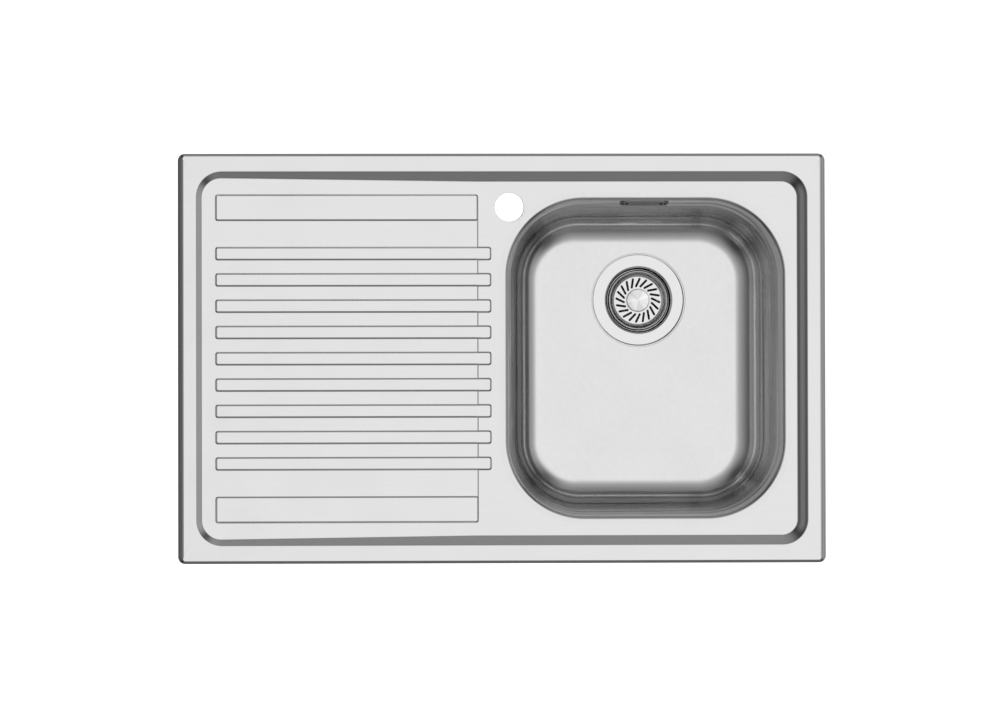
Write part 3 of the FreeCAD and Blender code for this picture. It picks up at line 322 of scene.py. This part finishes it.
deckSizes = {
    "halfX": 0.395,
    "halfY": 0.25,
    "corner": 0.009,
    "rimTop": 0.006,
    "rimFoot": 0.001,
    "edgeTilt": 37.0,  # the rim's sloping edge, in degrees from the level
    "edgeRun": (0.0037, 0.0033),  # its width on the long sides and at the ends
    "crownTilt": 19.0,  # a gentler slope above it, at the ends only
    "crownRun": (0.0042, 0.0072),
    "edgeFoot": 0.0012,  # round below the slope
    "edgeTop": 0.0006,  # round above it
    "crownTop": 0.0024,  # and above the gentler one
    "rimWidth": 0.0225,
    "stepCorner": 0.031,
    "stepTilt": 41.5,
    "stepRound": 0.003,
    "slopeSteps": 12,
    "ridge": 0.0002,  # a faint ridge and hollow along the right end's step
    "dropLeft": 0.006,
    "dropRight": 0.010,
    "fallEnd": -0.032,
    "sheet": 0.0008,
    "tap": (0.009, 0.1845),
    "tapRadius": 0.0175,
    "tapLip": 0.0006,
}
bowlSizes = {
    "centre": (0.175, 0.0),
    "halfX": 0.168,
    "halfY": 0.193,
    "corner": 0.093,
    "flange": 0.0095,
    "draft": 7,
    "depth": 0.15,
    "mouthRound": 0.005,
    "footRound": 0.035,
    "waste": (0.175, 0.075),
    "recess": 0.0583,
    "recessLip": 0.0005,
    "recessDepth": 0.002,
    "wasteHole": 0.045,
    "slotDepth": 0.020,  # overflow slot's middle below the deck
    "slotHalf": (0.027, 0.008),
    "slotEnd": 0.98,  # how round its ends are
    "slotReach": (-0.02, 0.01),  # the cutter's ends, from the bowl's back edge
    "waver": 0.00009,  # how far the drawn wall stands off its true line
    "waverRows": (0.067, 0.037, 0.023),  # heights between the wavers, which overlap
    "waverDrift": 1.6,  # how far they climb and fall round the bowl, in radians
    "waverTop": 0.03,  # depth below which they are at full height
    "waverEnd": (0.118, 0.146),  # depths between which they fade into the foot
    "wallRows": 40,
}
drainSizes = {
    "left": -0.349,
    "length": 0.320,
    "ribLength": 0.336,
    "ribPitch": 0.032,
    "ribWidth": 0.016,
    "ribCount": 9,
    "barY": 0.184,
    "barWidth": 0.032,
    "corner": 0.003,
    "height": 0.0015,
    "side": 0.0022,  # width of a rib's side, with its round edges
    "panelLeft": -0.355,
    "panelRight": -0.030,
    "panelStep": 0.0013,
    "panelHalfY": 0.184,
    "gridLeft": -0.358,
    "gridRight": -0.0105,
    "gridHalfY": 0.2045,
}


def deckHeight(x):
    d = deckSizes
    left = -(d["halfX"] - d["rimWidth"])
    share = min(max((x - left) / (d["fallEnd"] - left), 0), 1)
    return d["rimTop"] - d["dropLeft"] - (d["dropRight"] - d["dropLeft"]) * share


def panelHeight(x):
    # the drained panel's plane, which leaves the deck at its left end
    d = drainSizes
    low = deckHeight(d["panelLeft"])
    high = deckHeight(d["panelRight"]) + d["panelStep"]
    return low + (high - low) * (x - d["panelLeft"]) / (d["panelRight"] - d["panelLeft"])


def smooth(value, start, end):
    t = min(max((value - start) / (end - start), 0), 1)
    return t * t * (3 - 2 * t)


def outsideOf(x, y, left, right, middleY, width, corner):
    # distance from a rectangle with round corners, negative inside
    dx = abs(x - (left + right) / 2) - (right - left) / 2 + corner
    dy = abs(y - middleY) - width / 2 + corner
    return math.hypot(max(dx, 0), max(dy, 0)) + min(max(dx, dy), 0) - corner


def drainHeight(x, y):
    # deck or panel, with the ribs and bars standing on it
    d = drainSizes
    base = deckHeight(x)
    if d["panelLeft"] < x and abs(y) < d["panelHalfY"]:
        base += (panelHeight(x) - base) * (1 - smooth(x, d["panelRight"] - 0.0004, d["panelRight"] + 0.0016))
    rows = d["ribCount"] // 2
    nearest = min(max(round(y / d["ribPitch"]), -rows), rows) * d["ribPitch"]
    rib = outsideOf(x, y, d["left"], d["left"] + d["ribLength"], nearest, d["ribWidth"], d["corner"])
    barY = math.copysign(d["barY"], y)
    bar = outsideOf(x, y, d["left"], d["left"] + d["length"], barY, d["barWidth"], d["corner"])
    top = panelHeight(x) + d["height"]
    middle = -d["height"] / 2
    rise = 1 - smooth(min(rib, bar), middle - d["side"] / 2, middle + d["side"] / 2)
    return base + (top - base) * rise


def gridLines(low, high, edges, reach=0.0042, fine=0.00042):
    # places across the drainboard, close together by each edge and wide apart between
    places = {low, high}
    for edge in edges:
        places |= {edge - reach + fine * k for k in range(round(2 * reach / fine) + 1)}
    ordered = sorted(p for p in places if low <= p <= high)
    kept = [ordered[0]]
    for place in ordered[1:]:
        if place - kept[-1] > fine / 2:
            kept.append(place)
    kept[-1] = high
    return kept


def stepLoops(breaks):
    # the step from the rim to the deck, whose profile follows the deck's fall
    d = deckSizes
    tilt = math.radians(d["stepTilt"])
    reach = d["stepRound"] * math.tan(tilt / 2)
    halfX, halfY = d["halfX"] - d["rimWidth"], d["halfY"] - d["rimWidth"]
    outline = roundedRing((0, 0), halfX, halfY, d["stepCorner"], 16, breaks)
    inward = roundedRing((0, 0), halfX - 1, halfY - 1, d["stepCorner"] - 1, 16, breaks)
    columns = []
    for (x, y), (ix, iy) in zip(outline, inward):
        nx, ny = ix - x, iy - y
        drop = d["rimTop"] - deckHeight(x)
        for _ in range(2):
            drop = d["rimTop"] - deckHeight(x + nx * drop / math.tan(tilt))
        run = drop / math.tan(tilt)
        profile = bend(90, 90 - d["stepTilt"], d["stepRound"], (-reach, d["rimTop"] - d["stepRound"]))
        foot = (run + reach, d["rimTop"] - drop + d["stepRound"])
        profile += bend(270 - d["stepTilt"], 270, d["stepRound"], foot)
        ridge = d["ridge"] * max(nx * -1, 0) ** 4 if x > d["fallEnd"] else 0.0
        half = len(profile) // 2  # the upper bend ends here and the lower one starts
        (topInset, topZ), (footInset, footZ) = profile[half - 1:half + 1]
        slope = []
        for k in range(1, d["slopeSteps"]):
            share = k / d["slopeSteps"]
            wave = ridge * math.sin(2 * math.pi * share)
            slope.append((topInset + (footInset - topInset) * share + wave, topZ + (footZ - topZ) * share))
        profile = profile[:half] + slope + profile[half:]
        columns.append([(x + nx * inset, y + ny * inset, z) for inset, z in profile])
    return list(zip(*columns))


def edgeProfile(end):
    # inset and height up the rim's edge, on a long side (0) or at an end (1)
    d = deckSizes
    steep, gentle = math.radians(d["edgeTilt"]), math.radians(d["crownTilt"])
    run, crown = d["edgeRun"][end], d["crownRun"][end]
    knee = d["rimTop"] - (crown - run) * math.tan(gentle) * end
    footEnd = d["edgeFoot"] * (1 - math.sin(steep))
    footTop = knee - (run - footEnd) * math.tan(steep)
    profile = [(0, d["rimFoot"])]
    footZ = footTop - d["edgeFoot"] * math.cos(steep)
    profile += bend(180, 90 + d["edgeTilt"], d["edgeFoot"], (d["edgeFoot"], footZ))
    if end:
        profile += [(run, knee)]
        crest = (crown + d["crownTop"] * math.tan(gentle / 2), d["rimTop"] - d["crownTop"])
        profile += bend(90 + d["crownTilt"], 90, d["crownTop"], crest, 5)
    else:
        profile += bend(90 + d["edgeTilt"], 90, d["edgeTop"],
                        (run + d["edgeTop"] * math.tan(steep / 2), d["rimTop"] - d["edgeTop"]), 5)
        profile += [(crown, d["rimTop"])]
    return profile


def makeDeck():
    d, b, r = deckSizes, bowlSizes, drainSizes
    mesh = bmesh.new()
    breaks = [-0.3 + 0.03 * k for k in range(8)] + [d["fallEnd"]] + [0.03 * k for k in range(11)]
    sides, ends = edgeProfile(0), edgeProfile(1)
    loops = []
    for (inset, height), (endInset, endHeight) in zip(sides, ends):
        points = []
        outline = roundedRing((0, 0), d["halfX"] - inset, d["halfY"] - inset, d["corner"] - inset, 16, breaks)
        outer = roundedRing((0, 0), d["halfX"] + 1, d["halfY"] + 1, d["corner"] + 1, 16, breaks)
        for (x, y), (ox, oy) in zip(outline, outer):
            share = ((ox - x) / math.hypot(ox - x, oy - y)) ** 2
            step = (endInset - inset) * share / (1 + inset)
            points.append((x - (ox - x) * step, y - (oy - y) * step, height + (endHeight - height) * share))
        loops.append(addLoop(mesh, points))
    loops += [addLoop(mesh, points) for points in stepLoops(breaks)]
    loft(mesh, loops)

    # the drainboard is a grid whose lines crowd at the ribs' edges
    rows = r["ribCount"] // 2
    ribs = [k * r["ribPitch"] for k in range(-rows, rows + 1)]
    across = [y + side * r["ribWidth"] / 2 for y in ribs for side in (-1, 1)]
    across += [s * (r["barY"] + e * r["barWidth"] / 2) for s in (-1, 1) for e in (-1, 1)]
    along = [r["left"], r["left"] + r["length"], r["left"] + r["ribLength"]]
    xs = gridLines(r["gridLeft"], r["gridRight"], along)
    ys = gridLines(-r["gridHalfY"], r["gridHalfY"], across)
    grid = [[mesh.verts.new((x, y, drainHeight(x, y))) for y in ys] for x in xs]
    for first, second in zip(grid, grid[1:]):
        for j in range(len(ys) - 1):
            mesh.faces.new((first[j], second[j], second[j + 1], first[j + 1]))
    border = [row[0] for row in grid] + grid[-1][1:] + [row[-1] for row in grid[-2::-1]] + grid[0][-2:0:-1]

    # flat sheet up to the bowl's edge and the tap hole's lip
    grow = b["flange"]
    opening = roundedRing(b["centre"], b["halfX"] + grow, b["halfY"] + grow, b["corner"] + grow, 24)
    bowlEdge = addLoop(mesh, [(x, y, deckHeight(x)) for x, y in opening])
    tapTop = deckHeight(d["tap"][0])
    lip = [(d["tapRadius"], -d["tapLip"] / 2), (d["tapRadius"] + d["tapLip"], 0)]
    tapLoops = spin(mesh, lip, d["tap"], tapTop, 96)
    loft(mesh, tapLoops)
    fillFlat(mesh, loops[-1], [border, bowlEdge, tapLoops[-1]])
    return newPiece("pressedDeck", mesh, ["sheet"], ["sink_deck"], thickness=d["sheet"])


def overflowCutter():
    b, d = bowlSizes, deckSizes
    halfX, halfZ = b["slotHalf"]
    middle = d["rimTop"] - d["dropRight"] - b["slotDepth"]
    mesh = bmesh.new()
    outline = roundedRing((b["centre"][0], middle), halfX, halfZ, halfZ * b["slotEnd"], 12)
    reach = [b["halfY"] + y for y in b["slotReach"]]
    ends = [addLoop(mesh, [(x, y, z) for x, z in outline]) for y in reach]
    loft(mesh, ends)
    for end in ends:
        mesh.faces.new(end)
    bmesh.ops.recalc_face_normals(mesh, faces=mesh.faces)
    data = bpy.data.meshes.new("cutter")
    mesh.to_mesh(data)
    mesh.free()
    cutter = bpy.data.objects.new("cutter", data)
    bpy.context.collection.objects.link(cutter)
    return cutter


def makeBowl():
    b, d = bowlSizes, deckSizes
    mesh = bmesh.new()
    top = d["rimTop"] - d["dropRight"]
    reach = math.tan(math.radians((90 - b["draft"]) / 2))
    lean = math.tan(math.radians(b["draft"]))
    floor = top - b["depth"]
    mouth = bend(90, b["draft"], b["mouthRound"], (-b["mouthRound"] * reach, top - b["mouthRound"]), 10)
    footInset = b["depth"] * lean + b["footRound"] * reach
    foot = bend(180 + b["draft"], 270, b["footRound"], (footInset, floor + b["footRound"]), 28)
    (topInset, wallTop), (endInset, wallFoot) = mouth[-1], foot[0]
    wall = []
    for k in range(1, b["wallRows"]):
        share = k / b["wallRows"]
        wall.append((topInset + (endInset - topInset) * share, wallTop + (wallFoot - wallTop) * share))
    loops = []
    for inset, height in [(-b["flange"], top)] + mouth + wall + foot:
        sizes = [b["halfX"] - inset, b["halfY"] - inset, b["corner"] - inset]
        ring = roundedRing(b["centre"], *sizes, 32, sideSteps=24)
        inner = roundedRing(b["centre"], *[size - 1 for size in sizes], 32, sideSteps=24)
        depth = top - height
        swell = b["waver"] * smooth(depth, b["mouthRound"], b["waverTop"])
        swell *= 1 - smooth(depth, *b["waverEnd"])
        points = []
        for n, ((x, y), (ix, iy)) in enumerate(zip(ring, inner)):
            turn = 2 * math.pi * n / len(ring)
            waver = swell * sum(
                math.sin(2 * math.pi * depth / pitch + m + b["waverDrift"] * math.sin((m + 2) * turn + 2 * m))
                for m, pitch in enumerate(b["waverRows"])
            )
            points.append((x + (ix - x) * waver, y + (iy - y) * waver, height))
        loops.append(addLoop(mesh, points))
    loft(mesh, loops)

    # the waste's recess: a round edge, a short wall and its own floor down to the hole
    lip = b["recessLip"]
    recess = [(-inset, z) for inset, z in bend(90, 0, lip, (-b["recess"] - lip, -lip), 5)]
    recess += [(b["recess"], -b["recessDepth"]), (b["wasteHole"], -b["recessDepth"])]
    rings = spin(mesh, recess, b["waste"], floor)
    loft(mesh, rings)
    fillFlat(mesh, loops[-1], [rings[0]])
    return newPiece("drawnBowl", mesh, ["bowl"], ["sink_bowl"], thickness=d["sheet"],
                    cutter=overflowCutter())


makeDeck()
makeBowl()
print("deck and bowl made")


wasteSizes = {
    "centre": (0.175, 0.075),
    "top": -0.154,
    "flange": 0.057,
    "flangeEdge": (0.0005, 0.0019),  # width of the flange's bevelled edge, narrow at the back left
    "bevel": ((0, 1), (0.05, 0.85), (0.85, 0.07), (1, 0)),  # its points, as shares across and down
    "edgeHeight": 0.00098,
    "narrowAt": 140,  # degrees from +X
    "thick": 0.001,
    "throat": 0.0405,
    "throatRound": 0.003,
    "throatFoot": 0.0385,
    "ledgeDepth": 0.012,
    "ledge": 0.035,
    "cupDepth": 0.038,
    "cupRound": 0.003,
    "screwHole": 0.0033,
    "drainHole": 0.005,
    "drainRing": 0.022,
    "drainCount": 8,
}
basketSizes = {
    "rim": 0.0366,
    "rimWidth": 0.0014,
    "rimTop": -0.0032,
    "thick": 0.001,
    "floor": -0.0115,
    "floorRadius": 0.0286,  # the floor's flat part
    "wallFoot": 0.0332,  # the wall's radius where it turns in: pressed down, it clears the flange's ledge
    "footHeight": 0.0052,
    "footSteps": 12,
    "hub": 0.005,
    "slotInner": 0.0163,
    "slotOuter": 0.028,
    "slotWidth": 0.0028,
    "slotLean": 26.0,
    "slotCount": 20,
    "knob": 0.01435,
    "neck": 0.008,
    "neckHeight": 0.0045,
    "knobEdge": 0.002,
    "knobRound": 0.0007,
    "knobRim": 0.0132,  # where the fine ring is turned in
    "ringHalf": 0.0002,  # half its width
    "ringLift": 0.0001,  # how far its edges stand up
    "ringDepth": 0.00012,
    "dome": 0.0007,
    "domeRings": 10,
}


def makeFlange():
    w = wasteSizes
    mesh = bmesh.new()
    lip = w["throatRound"]
    narrow, wide = w["flangeEdge"]
    centreX, centreY = w["centre"]
    loops = []
    for across, down in w["bevel"]:
        points = []
        for n in range(roundSteps):
            turn = 2 * math.pi * n / roundSteps
            width = narrow + (wide - narrow) * (0.5 - 0.5 * math.cos(turn - math.radians(w["narrowAt"])))
            radius = w["flange"] - width * across
            height = w["top"] - w["edgeHeight"] * down
            points.append((centreX + radius * math.cos(turn), centreY + radius * math.sin(turn), height))
        loops.append(addLoop(mesh, points))
    slope = math.degrees(math.atan2(w["throat"] - w["throatFoot"], w["ledgeDepth"]))
    reach = lip * math.tan(math.radians((90 - slope) / 2))
    profile = bend(90, 180 - slope, lip, (w["throat"] + reach, -lip), 12)
    bottom = -w["cupDepth"]
    profile += [(w["throatFoot"], -w["ledgeDepth"]), (w["ledge"], -w["ledgeDepth"])]
    profile += [(w["ledge"], bottom + w["cupRound"])]
    profile += bend(0, -90, w["cupRound"], (w["ledge"] - w["cupRound"], bottom + w["cupRound"]), 6)[1:]
    loops += spin(mesh, profile, w["centre"], w["top"])
    loft(mesh, loops)
    holes = [spin(mesh, [(w["screwHole"], bottom)], w["centre"], w["top"], 32)[0]]
    for x, y in circle(w["centre"], w["drainRing"], w["drainCount"]):
        holes.append(spin(mesh, [(w["drainHole"], bottom)], (x, y), w["top"], 32)[0])
    fillFlat(mesh, loops[-1], holes)
    cupTop = w["top"] - w["ledgeDepth"] - w["thick"] / 2
    # faces below the ledge take the cup's painted shade
    for face in mesh.faces:
        face.material_index = int(face.calc_center_median().z < cupTop)
    newPiece("wasteFlange", mesh, ["polished", "pressed"], ["waste_flange"],
             thickness=w["thick"], origin=(*w["centre"], w["top"]))


def makeBasket():
    w, s = wasteSizes, basketSizes
    mesh = bmesh.new()
    edge = s["rimWidth"] / 2
    profile = bend(0, 180, edge, (s["rim"] - edge, s["rimTop"] - edge), 12)
    across = s["wallFoot"] - s["floorRadius"]
    for k in range(s["footSteps"] + 1):
        turn = math.radians(90 - 90 * k / s["footSteps"])
        height = s["floor"] + s["footHeight"] * (1 - math.cos(turn))
        profile.append((s["floorRadius"] + across * math.sin(turn), height))
    loops = spin(mesh, profile, w["centre"], w["top"])
    loft(mesh, loops)
    holes = [spin(mesh, [(s["hub"], s["floor"])], w["centre"], w["top"], 32)[0]]
    middle = (s["slotInner"] + s["slotOuter"]) / 2
    half = (s["slotOuter"] - s["slotInner"]) / 2 / math.cos(math.radians(s["slotLean"]))
    outline = roundedRing((0, 0), half, s["slotWidth"] / 2, s["slotWidth"] / 2, 6)
    lean = math.radians(-s["slotLean"])
    for k in range(s["slotCount"]):
        turn = 2 * math.pi * k / s["slotCount"]
        points = []
        for x, y in outline:
            x, y = x * math.cos(lean) - y * math.sin(lean) + middle, x * math.sin(lean) + y * math.cos(lean)
            points.append((w["centre"][0] + x * math.cos(turn) - y * math.sin(turn),
                           w["centre"][1] + x * math.sin(turn) + y * math.cos(turn), w["top"] + s["floor"]))
        holes.append(addLoop(mesh, points))
    fillFlat(mesh, loops[-1], holes)
    newPiece("basketDish", mesh, ["polished"], ["basket_dish"], "strainer_basket",
             thickness=s["thick"], origin=(*w["centre"], w["top"]))


def makeKnob():
    w, s = wasteSizes, basketSizes
    mesh = bmesh.new()
    foot = s["floor"] + s["neckHeight"]
    top = foot + s["knobEdge"]
    bevel = s["knobRound"]
    profile = [(s["hub"] / 2, s["floor"]), (s["neck"], s["floor"])]
    profile += [(s["neck"], foot), (s["knob"] - bevel, foot)]
    profile += bend(-90, 80, bevel, (s["knob"] - bevel, foot + bevel), 6)[1:]
    profile += bend(0, 90, bevel, (s["knob"] - bevel, top - bevel), 6)
    profile += [
        (s["knobRim"] + s["ringHalf"], top + s["ringLift"]),
        (s["knobRim"], top - s["ringDepth"]),
        (s["knobRim"] - s["ringHalf"], top + s["ringLift"]),
    ]
    start = s["knobRim"] - 2 * s["ringHalf"]
    for k in range(s["domeRings"]):
        share = k / s["domeRings"]
        radius = start * (1 - share)
        rise = s["dome"] * (1 - (radius / start) ** 2) + s["ringLift"] * (1 - share)
        profile.append((radius, top + rise))
    loops = spin(mesh, profile, w["centre"], w["top"], 96)
    loft(mesh, loops)
    mesh.faces.new(loops[-1])
    mesh.faces.new(loops[0])
    newPiece("turnedKnob", mesh, ["turned"], ["basket_knob"], "strainer_basket",
             origin=(*w["centre"], w["top"]))


makeFlange()
makeBasket()
makeKnob()
print("strainer made")


# pieces that keep the shape they were built with
finishOf = {
    "rim_gasket": "foam",
    "bowl_sound_pad": "damping",
    "clip_studs": "zinc",
    "waste_flange_gasket": "rubber",
    "waste_body_gasket": "rubber",
    "waste_body": "white",
    "waste_insert": "brass",
    "waste_screw": "polished",
    "overflow_plate": "plate",
    "overflow_gasket": "rubber",
    "overflow_elbow": "white",
    "overflow_pipe": "white",
    "overflow_nut_lower": "white",
    "overflow_nut_upper": "white",
    "basket_catch": "dark",
    "basket_stem": "polished",
    "basket_seal": "rubber",
    "swing_clip": "zinc",
    "clip_foot": "dark",
    "clip_screw": "zinc",
}
for name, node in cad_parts.items():
    key = name if name in finishOf else name.rstrip("0123456789").rstrip("_")
    if key in finishOf:
        node.data.materials.clear()
        node.data.materials.append(finishes[finishOf[key]])
print("finishes set")


stageSizes = {
    "floorZ": -0.2475,
    "floorSize": 60.0,
    "glowSeen": 0.75,  # lifts the floor to white for the camera
    "glowMirrored": 0.3,  # and in reflections
    # radius of the painted shadow on the floor under the outlet
    "outletShade": 0.0225,
    "camera": (-0.1964, -0.1089, 6.5488),
    "tilt": (0.956, -1.695, -0.099),  # degrees about X, Y and Z
    "focal": 193.49,
    "sensor": 36.0,
}
# light that metal mirrors: a ring by the sine of its height, a ceiling by the cosine from its middle,
# and four dark corners
tentSizes = {
    "ring": [(-0.1, 1.0), (0.0, 1.0), (0.20, 1.0), (0.27, 0.22), (0.40, 0.25), (0.55, 0.0)],
    "ringBase": 0.175,  # the ring's mean level
    "ringToBowl": 0.05,  # what it gains to +X
    "ringToTap": 0.035,  # and to +Y
    "ceiling": [
        (0.20, 0.07), (0.50, 0.20), (0.695, 0.33), (0.809, 0.42), (0.883, 0.56), (0.927, 0.78), (0.948, 1.0),
    ],
    "lean": (15.0, 5.0),  # degrees that the bright ceiling leans to +X and +Y
    "corner": [(0.30, 1.0), (0.70, 0.85), (0.86, 0.35), (0.94, 0.0)],  # how far the corners show, by height
    "cornerDark": 0.72,
    "cornerSharp": 6.0,  # power of the fall beside each corner
}


def makeFloor():
    s = stageSizes
    half = s["floorSize"] / 2
    data = bpy.data.meshes.new("floor")
    corners = [(x * half, y * half, s["floorZ"]) for x, y in ((-1, -1), (1, -1), (1, 1), (-1, 1))]
    data.from_pydata(corners, [], [(0, 1, 2, 3)])
    floor = bpy.data.objects.new("floor", data)
    bpy.context.collection.objects.link(floor)

    # matt pale board: takes the object's shadow, and is clear from below
    material, tree, shader = newMaterial("paleBoard")
    shader.inputs["Base Color"].default_value = linear("E8E8E8")
    shader.inputs["Roughness"].default_value = 1.0
    shader.inputs["Specular IOR Level"].default_value = 0.0
    rays = addNode(tree, "ShaderNodeLightPath")
    mirrored = addNode(tree, "ShaderNodeMath", {
        0: rays.outputs["Is Glossy Ray"], 1: rays.outputs["Is Transmission Ray"],
    }, operation="MAXIMUM")
    glow = addNode(tree, "ShaderNodeMath", {
        0: mirrored.outputs[0], 1: s["glowMirrored"],
    }, operation="MULTIPLY")
    total = addNode(tree, "ShaderNodeMath", {
        0: rays.outputs["Is Camera Ray"], 1: s["glowSeen"], 2: glow.outputs[0],
    }, operation="MULTIPLY_ADD")
    # painted shadow: no glow in a disc on the floor under the outlet, which shows darker there as the shade
    # under a trap would
    place = addNode(tree, "ShaderNodeNewGeometry")
    centre = (*wasteSizes["centre"], s["floorZ"])
    away = addNode(tree, "ShaderNodeVectorMath", {
        0: place.outputs["Position"], 1: centre,
    }, operation="DISTANCE")
    lit = addNode(tree, "ShaderNodeMath", {
        0: away.outputs["Value"], 1: s["outletShade"],
    }, operation="GREATER_THAN")
    glowing = addNode(tree, "ShaderNodeMath", {0: total.outputs[0], 1: lit.outputs[0]}, operation="MULTIPLY")
    light = addNode(tree, "ShaderNodeEmission", {"Color": [1, 1, 1, 1], "Strength": glowing.outputs[0]})
    both = addNode(tree, "ShaderNodeAddShader", {0: shader.outputs["BSDF"], 1: light.outputs["Emission"]})
    under = addNode(tree, "ShaderNodeBsdfTransparent")
    side = addNode(tree, "ShaderNodeNewGeometry")
    mix = addNode(tree, "ShaderNodeMixShader", {
        0: side.outputs["Backfacing"], 1: both.outputs["Shader"], 2: under.outputs["BSDF"],
    })
    tree.links.new(mix.outputs["Shader"], tree.nodes["Material Output"].inputs["Surface"])
    data.materials.append(material)


def addRamp(tree, value, levels):
    ramp = addNode(tree, "ShaderNodeValToRGB", {"Fac": value})
    stops = ramp.color_ramp.elements
    while len(stops) < len(levels):
        stops.new(0.5)
    for stop, (sine, level) in zip(stops, levels):
        stop.position = (sine + 1) / 2
        stop.color = [level, level, level, 1]
    return ramp.outputs["Color"]


def makeWorld():
    # a light tent, bright overhead, that only mirrors see; matt things and the camera see plain white
    t = tentSizes
    world = bpy.data.worlds.new("tent")
    bpy.context.scene.world = world
    world.use_nodes = True
    world.cycles.sampling_method = "NONE"
    tree = world.node_tree
    direction = addNode(tree, "ShaderNodeTexCoord")
    split = addNode(tree, "ShaderNodeSeparateXYZ", {"Vector": direction.outputs["Generated"]})
    height = addNode(tree, "ShaderNodeMapRange", {
        "Value": split.outputs["Z"], "From Min": -1.0, "From Max": 1.0,
    })
    toBowl = addNode(tree, "ShaderNodeMath", {
        0: split.outputs["X"], 1: t["ringToBowl"], 2: t["ringBase"],
    }, operation="MULTIPLY_ADD")
    toTap = addNode(tree, "ShaderNodeMath", {
        0: split.outputs["Y"], 1: t["ringToTap"], 2: toBowl.outputs[0],
    }, operation="MULTIPLY_ADD")
    ring = addRamp(tree, height.outputs["Result"], t["ring"])
    leanX, leanY = (math.tan(math.radians(angle)) for angle in t["lean"])
    axis = Vector((leanX, leanY, 1)).normalized()
    near = addNode(tree, "ShaderNodeVectorMath", {
        0: direction.outputs["Generated"], 1: list(axis),
    }, operation="DOT_PRODUCT")
    nearness = addNode(tree, "ShaderNodeMapRange", {
        "Value": near.outputs["Value"], "From Min": -1.0, "From Max": 1.0,
    })
    overhead = addRamp(tree, nearness.outputs["Result"], t["ceiling"])
    mirrored = addNode(tree, "ShaderNodeMath", {
        0: ring, 1: toTap.outputs[0], 2: overhead,
    }, operation="MULTIPLY_ADD")
    # the tent's seams stand at its four corners and are darker: 2XY over the level part peaks there
    product = addNode(tree, "ShaderNodeMath", {
        0: split.outputs["X"], 1: split.outputs["Y"],
    }, operation="MULTIPLY")
    upright = addNode(tree, "ShaderNodeMath", {
        0: split.outputs["Z"], 1: split.outputs["Z"],
    }, operation="MULTIPLY")
    flat = addNode(tree, "ShaderNodeMath", {0: 1.001, 1: upright.outputs[0]}, operation="SUBTRACT")  # never 0
    share = addNode(tree, "ShaderNodeMath", {0: product.outputs[0], 1: flat.outputs[0]}, operation="DIVIDE")
    size = addNode(tree, "ShaderNodeMath", {0: share.outputs[0]}, operation="ABSOLUTE")
    twice = addNode(tree, "ShaderNodeMath", {
        0: size.outputs[0], 1: 2.0,
    }, operation="MULTIPLY", use_clamp=True)
    peak = addNode(tree, "ShaderNodeMath", {0: twice.outputs[0], 1: t["cornerSharp"]}, operation="POWER")
    shown = addRamp(tree, height.outputs["Result"], t["corner"])
    dark = addNode(tree, "ShaderNodeMath", {0: peak.outputs[0], 1: shown}, operation="MULTIPLY")
    kept = addNode(tree, "ShaderNodeMath", {
        0: dark.outputs[0], 1: -t["cornerDark"], 2: 1.0,
    }, operation="MULTIPLY_ADD")
    mirrored = addNode(tree, "ShaderNodeMath", {
        0: mirrored.outputs[0], 1: kept.outputs[0],
    }, operation="MULTIPLY")
    rays = addNode(tree, "ShaderNodeLightPath")
    plain = addNode(tree, "ShaderNodeMath", {
        0: rays.outputs["Is Camera Ray"], 1: rays.outputs["Is Diffuse Ray"],
    }, operation="MAXIMUM")
    level = addNode(tree, "ShaderNodeMix", {
        0: plain.outputs[0], 2: mirrored.outputs[0], 3: 1.0,
    }, data_type="FLOAT")
    tree.links.new(level.outputs[0], tree.nodes["Background"].inputs["Strength"])
    tree.nodes["Background"].inputs["Color"].default_value = [1, 1, 1, 1]


def makeCamera():
    s = stageSizes
    data = bpy.data.cameras.new("camera")
    data.lens = s["focal"]
    data.sensor_width = s["sensor"]
    data.clip_start = 0.1
    data.clip_end = 100
    camera = bpy.data.objects.new("camera", data)
    camera.location = s["camera"]
    camera.rotation_mode = "ZYX"
    camera.rotation_euler = [math.radians(angle) for angle in s["tilt"]]
    bpy.context.collection.objects.link(camera)
    bpy.context.scene.camera = camera


makeFloor()
makeWorld()
makeCamera()
bpy.context.scene.view_settings.view_transform = "Standard"
print("floor, light and camera made")
